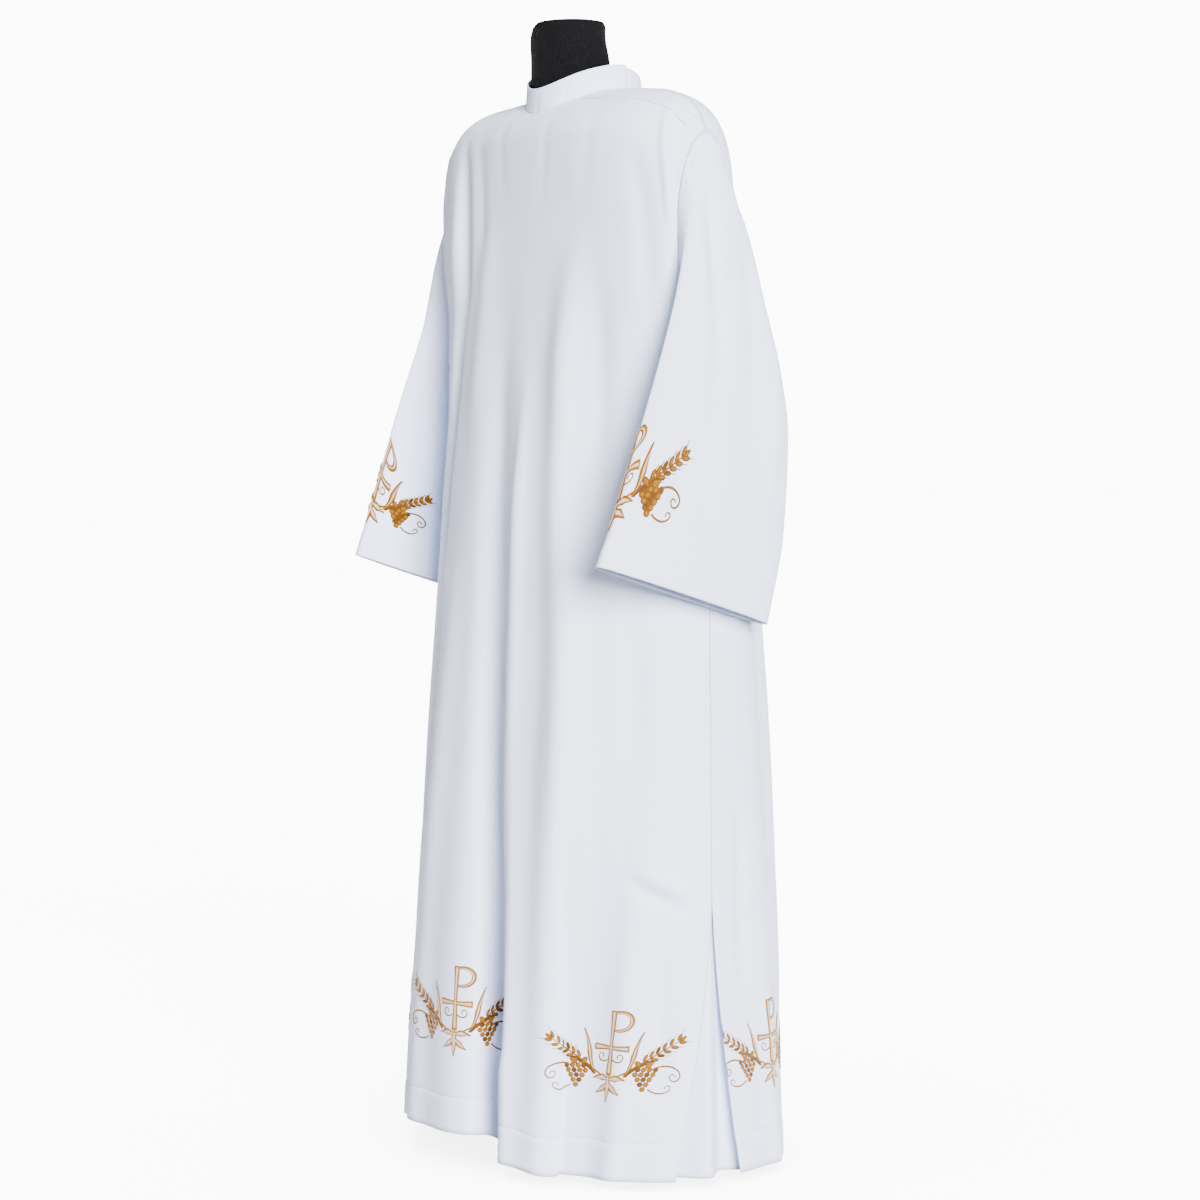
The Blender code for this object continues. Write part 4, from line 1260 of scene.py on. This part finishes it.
def wheat():
    stem = bezier(WHEAT_STEM, STEM_POINTS)
    for pair in range(GRAIN_PAIRS):
        k = GRAIN_FIRST + GRAIN_EVERY * pair
        angle = np.arctan2(*(stem[k + 1] - stem[k - 1])[::-1])
        for lean in (-1.0, 1.0):
            turn = angle + lean * GRAIN_LEAN
            ahead = np.array((cos(turn), sin(turn)))
            spot = stem[k] + GRAIN_LONG * ahead + GRAIN_ASIDE * lean * np.array((-sin(angle), cos(angle)))
            thread = "amber" if pair == DARK_PAIR else "gold"
            ornament.oval(Oval(*spot, GRAIN_LONG, GRAIN_WIDE, np.degrees(turn), thread, 2))
            tip, far = spot + BEARD_FROM * ahead, spot + BEARD_TO * ahead
            ornament.stroke(Stroke(*tip, *tip, *far, *far, 0.6, 0.5, 0.3, "tan", 2))
    ornament.oval(Oval(*stem[-2], GRAIN_LONG, GRAIN_WIDE, np.degrees(angle), "gold", 2))


grapes()
wheat()
print("one ornament, points:", ornament.count)

# %% [markdown]
# ## Laying the ornament on the cloth
# The flat drawing is laid on a grid of cloth: across is measured along each row
# and up along the column at its middle, so it follows every fold. Projecting it
# with a Shrinkwrap modifier would stretch it on the sides of the folds.

# %% Carry the flat drawing onto a grid
LIFT = 0.0006


def lay(flat, grid, facing, column, low, mirror):
    """Points of the flat drawing on the cloth, low metres up from the first row."""
    normals = normals_of(grid) * facing
    across = flat_map(grid, 0)[:, :, 0]
    numbers = np.arange(grid.shape[1], dtype=float)
    middles = np.array([np.interp(column, numbers, row) for row in across])
    across = across - middles[:, None]
    line = grid[:, int(round(column))]
    up = np.concatenate(([0.0], np.cumsum(np.linalg.norm(np.diff(line, axis=0), axis=1)))) - low
    rows = np.clip(np.searchsorted(up, flat[:, 1]) - 1, 0, len(up) - 2)
    share = (flat[:, 1] - up[rows]) / (up[rows + 1] - up[rows])
    placed = np.zeros((len(flat), 3))
    for row in np.unique(rows):
        here = rows == row
        for step, weight in ((0, 1.0 - share[here]), (1, share[here])):
            place = np.interp(flat[here, 0] * mirror, across[row + step], numbers)
            left = np.minimum(place.astype(int), len(numbers) - 2)
            part = (place - left)[:, None]
            surface = grid[row + step]
            spot = surface[left] * (1.0 - part) + surface[left + 1] * part
            out = normals[row + step][left] * (1.0 - part) + normals[row + step][left + 1] * part
            placed[here] += weight[:, None] * (spot + out * (flat[here, 2:3] + LIFT))
    return placed


def embroidery(name, grid, facing, columns, low, mirror):
    flat = np.concatenate(ornament.points)
    vertices = np.concatenate([lay(flat, grid, facing, column, low, mirror) for column in columns])
    faces, threads = [], []
    for k in range(len(columns)):
        faces += [[i + k * ornament.count for i in face] for face in ornament.faces]
        threads += ornament.threads
    maps = np.tile(np.concatenate(ornament.maps), (len(columns), 1))
    piece = mesh_object(name, vertices, faces, list(thread_colours.values()), maps)
    piece.data.polygons.foreach_set("material_index", np.array(threads, dtype=np.int32))
    return piece


print("embroidery stands above the cloth, in millimetres:", LIFT * 1000.0)

# %% Embroider the hems and the cuffs
thread_colours = {
    "edge": thread_finish("dark edge thread", (0.14, 0.052, 0.0), (0.085, 0.028, 0.0), 0.50),
    "gold": thread_finish("gold thread", (0.29, 0.118, 0.0), (0.18, 0.066, 0.0), 0.40),
    "amber": thread_finish("amber thread", (0.13, 0.042, 0.0), (0.05, 0.013, 0.0), 0.42),
    "cream": thread_finish("cream thread", (0.66, 0.50, 0.36), (0.52, 0.36, 0.22), 0.50),
    "tan": thread_finish("tan thread", (0.20, 0.078, 0.0), (0.12, 0.042, 0.0), 0.50),
}
HEM_LOW = 0.112
CUFF_LOW = 0.056
FORWARD_FOLD = 0.75 * SLEEVE_ROUND


def columns_at(places):
    return [0.5 * (place + 1.0) * (PANEL_ACROSS - 1) for place in places]


trims = [
    embroidery("front_embroidery", front_points, 1, columns_at((-0.72, -0.06, 0.665)), HEM_LOW, 1.0),
    embroidery("back_embroidery", back_points, -1, columns_at((-0.72, 0.03, 0.78)), HEM_LOW, -1.0),
]
for name, side in SLEEVE_SIDES.items():
    grid = sleeve_grids[name][::-1]
    trims.append(embroidery(name + "_embroidery", grid, -side, [FORWARD_FOLD], CUFF_LOW, -side))
print("embroidery faces:", sum(len(piece.data.polygons) for piece in trims))

# %% [markdown]
# ## The stand
# The pole and the base plate keep the shape of their solids. They are steel with
# a black powder coat: satin, with the fine orange-peel grain that baked powder
# has, and a little rubbed in patches spread at random.

# %% Coat the stand


def powder_coat():
    finish = Finish("powder coat", Specular_IOR_Level=0.45)
    place = finish.node("ShaderNodeTexCoord", {}, {}, 3)
    peel = finish.noise(place, 0.0012)
    rubbed = finish.noise(place, 0.05)
    finish.bump(peel, 0.0003)
    finish.feed("Roughness", rubbed * 0.16 + 0.34)
    finish.feed("Base Color", finish.two_tone((0.008, 0.008, 0.009), (0.022, 0.022, 0.024), rubbed))
    return finish.material


stand_coat = powder_coat()
for node in ("stand_pole", "stand_base"):
    solid = bpy.data.objects[node]
    solid.data.materials.clear()
    solid.data.materials.append(stand_coat)
print("stand coated")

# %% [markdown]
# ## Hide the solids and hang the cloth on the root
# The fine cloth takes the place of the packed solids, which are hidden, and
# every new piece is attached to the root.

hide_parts("alb_front")
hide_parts("alb_back")
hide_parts("sleeve_left")
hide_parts("sleeve_right")
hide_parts("collar_band")
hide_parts("shoulder_placket")
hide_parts("side_pleat_left")
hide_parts("side_pleat_right")
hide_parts("form_torso")
cloth = [front, back, collar, placket, *sleeves.values(), *pleats.values()]
for piece in cloth:
    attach(piece, "root")
for piece in (*stitches.values(), *trims):
    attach(piece, "root")
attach(dress_form, "root")

# %% [markdown]
# ## The camera
# The camera stands four metres off, to the wearer's left of the front, at the
# height of the waist. A longer lens from further off would flatten the folds.

# %% Place the camera
CAMERA_AZIMUTH = radians(52.0)
CAMERA_DISTANCE = 4.0
CAMERA_HEIGHT = 0.982
CAMERA_PITCH = radians(2.98)
CAMERA_YAW = atan(10.0 / 2880.0)
camera_data = bpy.data.cameras.new("camera")
camera_data.lens = 86.4
camera_data.sensor_width = 36.0
camera_data.sensor_fit = "HORIZONTAL"
camera = bpy.data.objects.new("camera", camera_data)
bpy.context.scene.collection.objects.link(camera)
camera.location = (CAMERA_DISTANCE * sin(CAMERA_AZIMUTH), -CAMERA_DISTANCE * cos(CAMERA_AZIMUTH),
                   CAMERA_HEIGHT)
ahead = Vector((-sin(CAMERA_AZIMUTH), cos(CAMERA_AZIMUTH), 0.0))
aside = Vector((cos(CAMERA_AZIMUTH), sin(CAMERA_AZIMUTH), 0.0))
level = ahead * cos(CAMERA_YAW) + aside * sin(CAMERA_YAW)
view = level * cos(CAMERA_PITCH) - Vector((0.0, 0.0, 1.0)) * sin(CAMERA_PITCH)
camera.rotation_euler = view.to_track_quat("-Z", "Y").to_euler()
bpy.context.scene.camera = camera

print("camera at:", [round(value, 2) for value in camera.location])

# %% [markdown]
# ## The light and the floor
# A white studio has pale walls all round and one large soft lamp that shapes the
# folds. White walls as bright as the backdrop would wash the folds out, so only
# the camera sees the bright backdrop, and the cloth is lit by dimmer walls.

# %% Light the studio
BACKDROP = {"Color": (0.98, 0.99, 1.0, 1.0), "Strength": 12.0}
WALLS = {"Color": (0.90, 0.94, 1.0, 1.0), "Strength": 0.22}
world = bpy.data.worlds.new("studio")
world.use_nodes = True
nodes = world.node_tree.nodes
nodes.remove(nodes["Background"])
studio = NodeTree(world.node_tree)
backdrop = studio.node("ShaderNodeBackground", {}, BACKDROP)
walls = studio.node("ShaderNodeBackground", {}, WALLS)
seen = studio.node("ShaderNodeLightPath")
blend = studio.node("ShaderNodeMixShader", {}, {0: seen, 1: walls, 2: backdrop})
world.node_tree.links.new(blend.socket, nodes["World Output"].inputs["Surface"])
bpy.context.scene.world = world

Lamp = namedtuple("Lamp", "name azimuth elevation spread strength")
LAMPS = table(Lamp, (
    ("key", 73.0, 16.0, 30.0, 14.5),
    ("fill", -14.0, 8.0, 40.0, 1.3),
    ("top", 30.0, 78.0, 50.0, 1.0),
))


def sun(name, spread, strength):
    """A lamp with parallel rays. Its spread in degrees makes it soft."""
    data = bpy.data.lights.new(name, "SUN")
    data.energy = strength
    data.angle = radians(spread)
    light = bpy.data.objects.new(name, data)
    bpy.context.scene.collection.objects.link(light)
    return light


for lamp in LAMPS:
    light = sun(lamp.name, lamp.spread, lamp.strength)
    turn, climb = radians(lamp.azimuth), radians(lamp.elevation)
    towards = Vector((sin(turn) * cos(climb), -cos(turn) * cos(climb), sin(climb)))
    light.location = towards * 5.0
    light.rotation_euler = towards.to_track_quat("Z", "Y").to_euler()
print("lamps:", [lamp.name for lamp in LAMPS])

# %% [markdown]
# ## The floor
# The floor is a wide pale sheet. A lamp of its own washes it, and reaches nothing
# else, so that it is as white as the backdrop while the robe keeps its shading.

# %% Lay the floor
FLOOR_HALF = 60
floor_finish = Finish("pale floor", Roughness=0.7)
place = floor_finish.node("ShaderNodeTexCoord", {}, {}, 3)
grain = floor_finish.noise(place, 0.8)
floor_finish.feed("Base Color", floor_finish.two_tone((0.86, 0.86, 0.87), (0.89, 0.89, 0.90), grain))
corners = np.array(((-1, -1, 0), (1, -1, 0), (1, 1, 0), (-1, 1, 0))) * FLOOR_HALF
floor = mesh_object("floor", corners, [(0, 1, 2, 3)], [floor_finish.material], smooth_shade=False)
floor.visible_diffuse = False
wash_lamp = sun("floor wash", 120.0, 38.0)
wash_lamp.data.use_shadow = False
lit_by_wash = bpy.data.collections.new("lit by the wash")
lit_by_wash.objects.link(floor)
wash_lamp.light_linking.receiver_collection = lit_by_wash

print("floor, metres across:", 2 * FLOOR_HALF)

# %% [markdown]
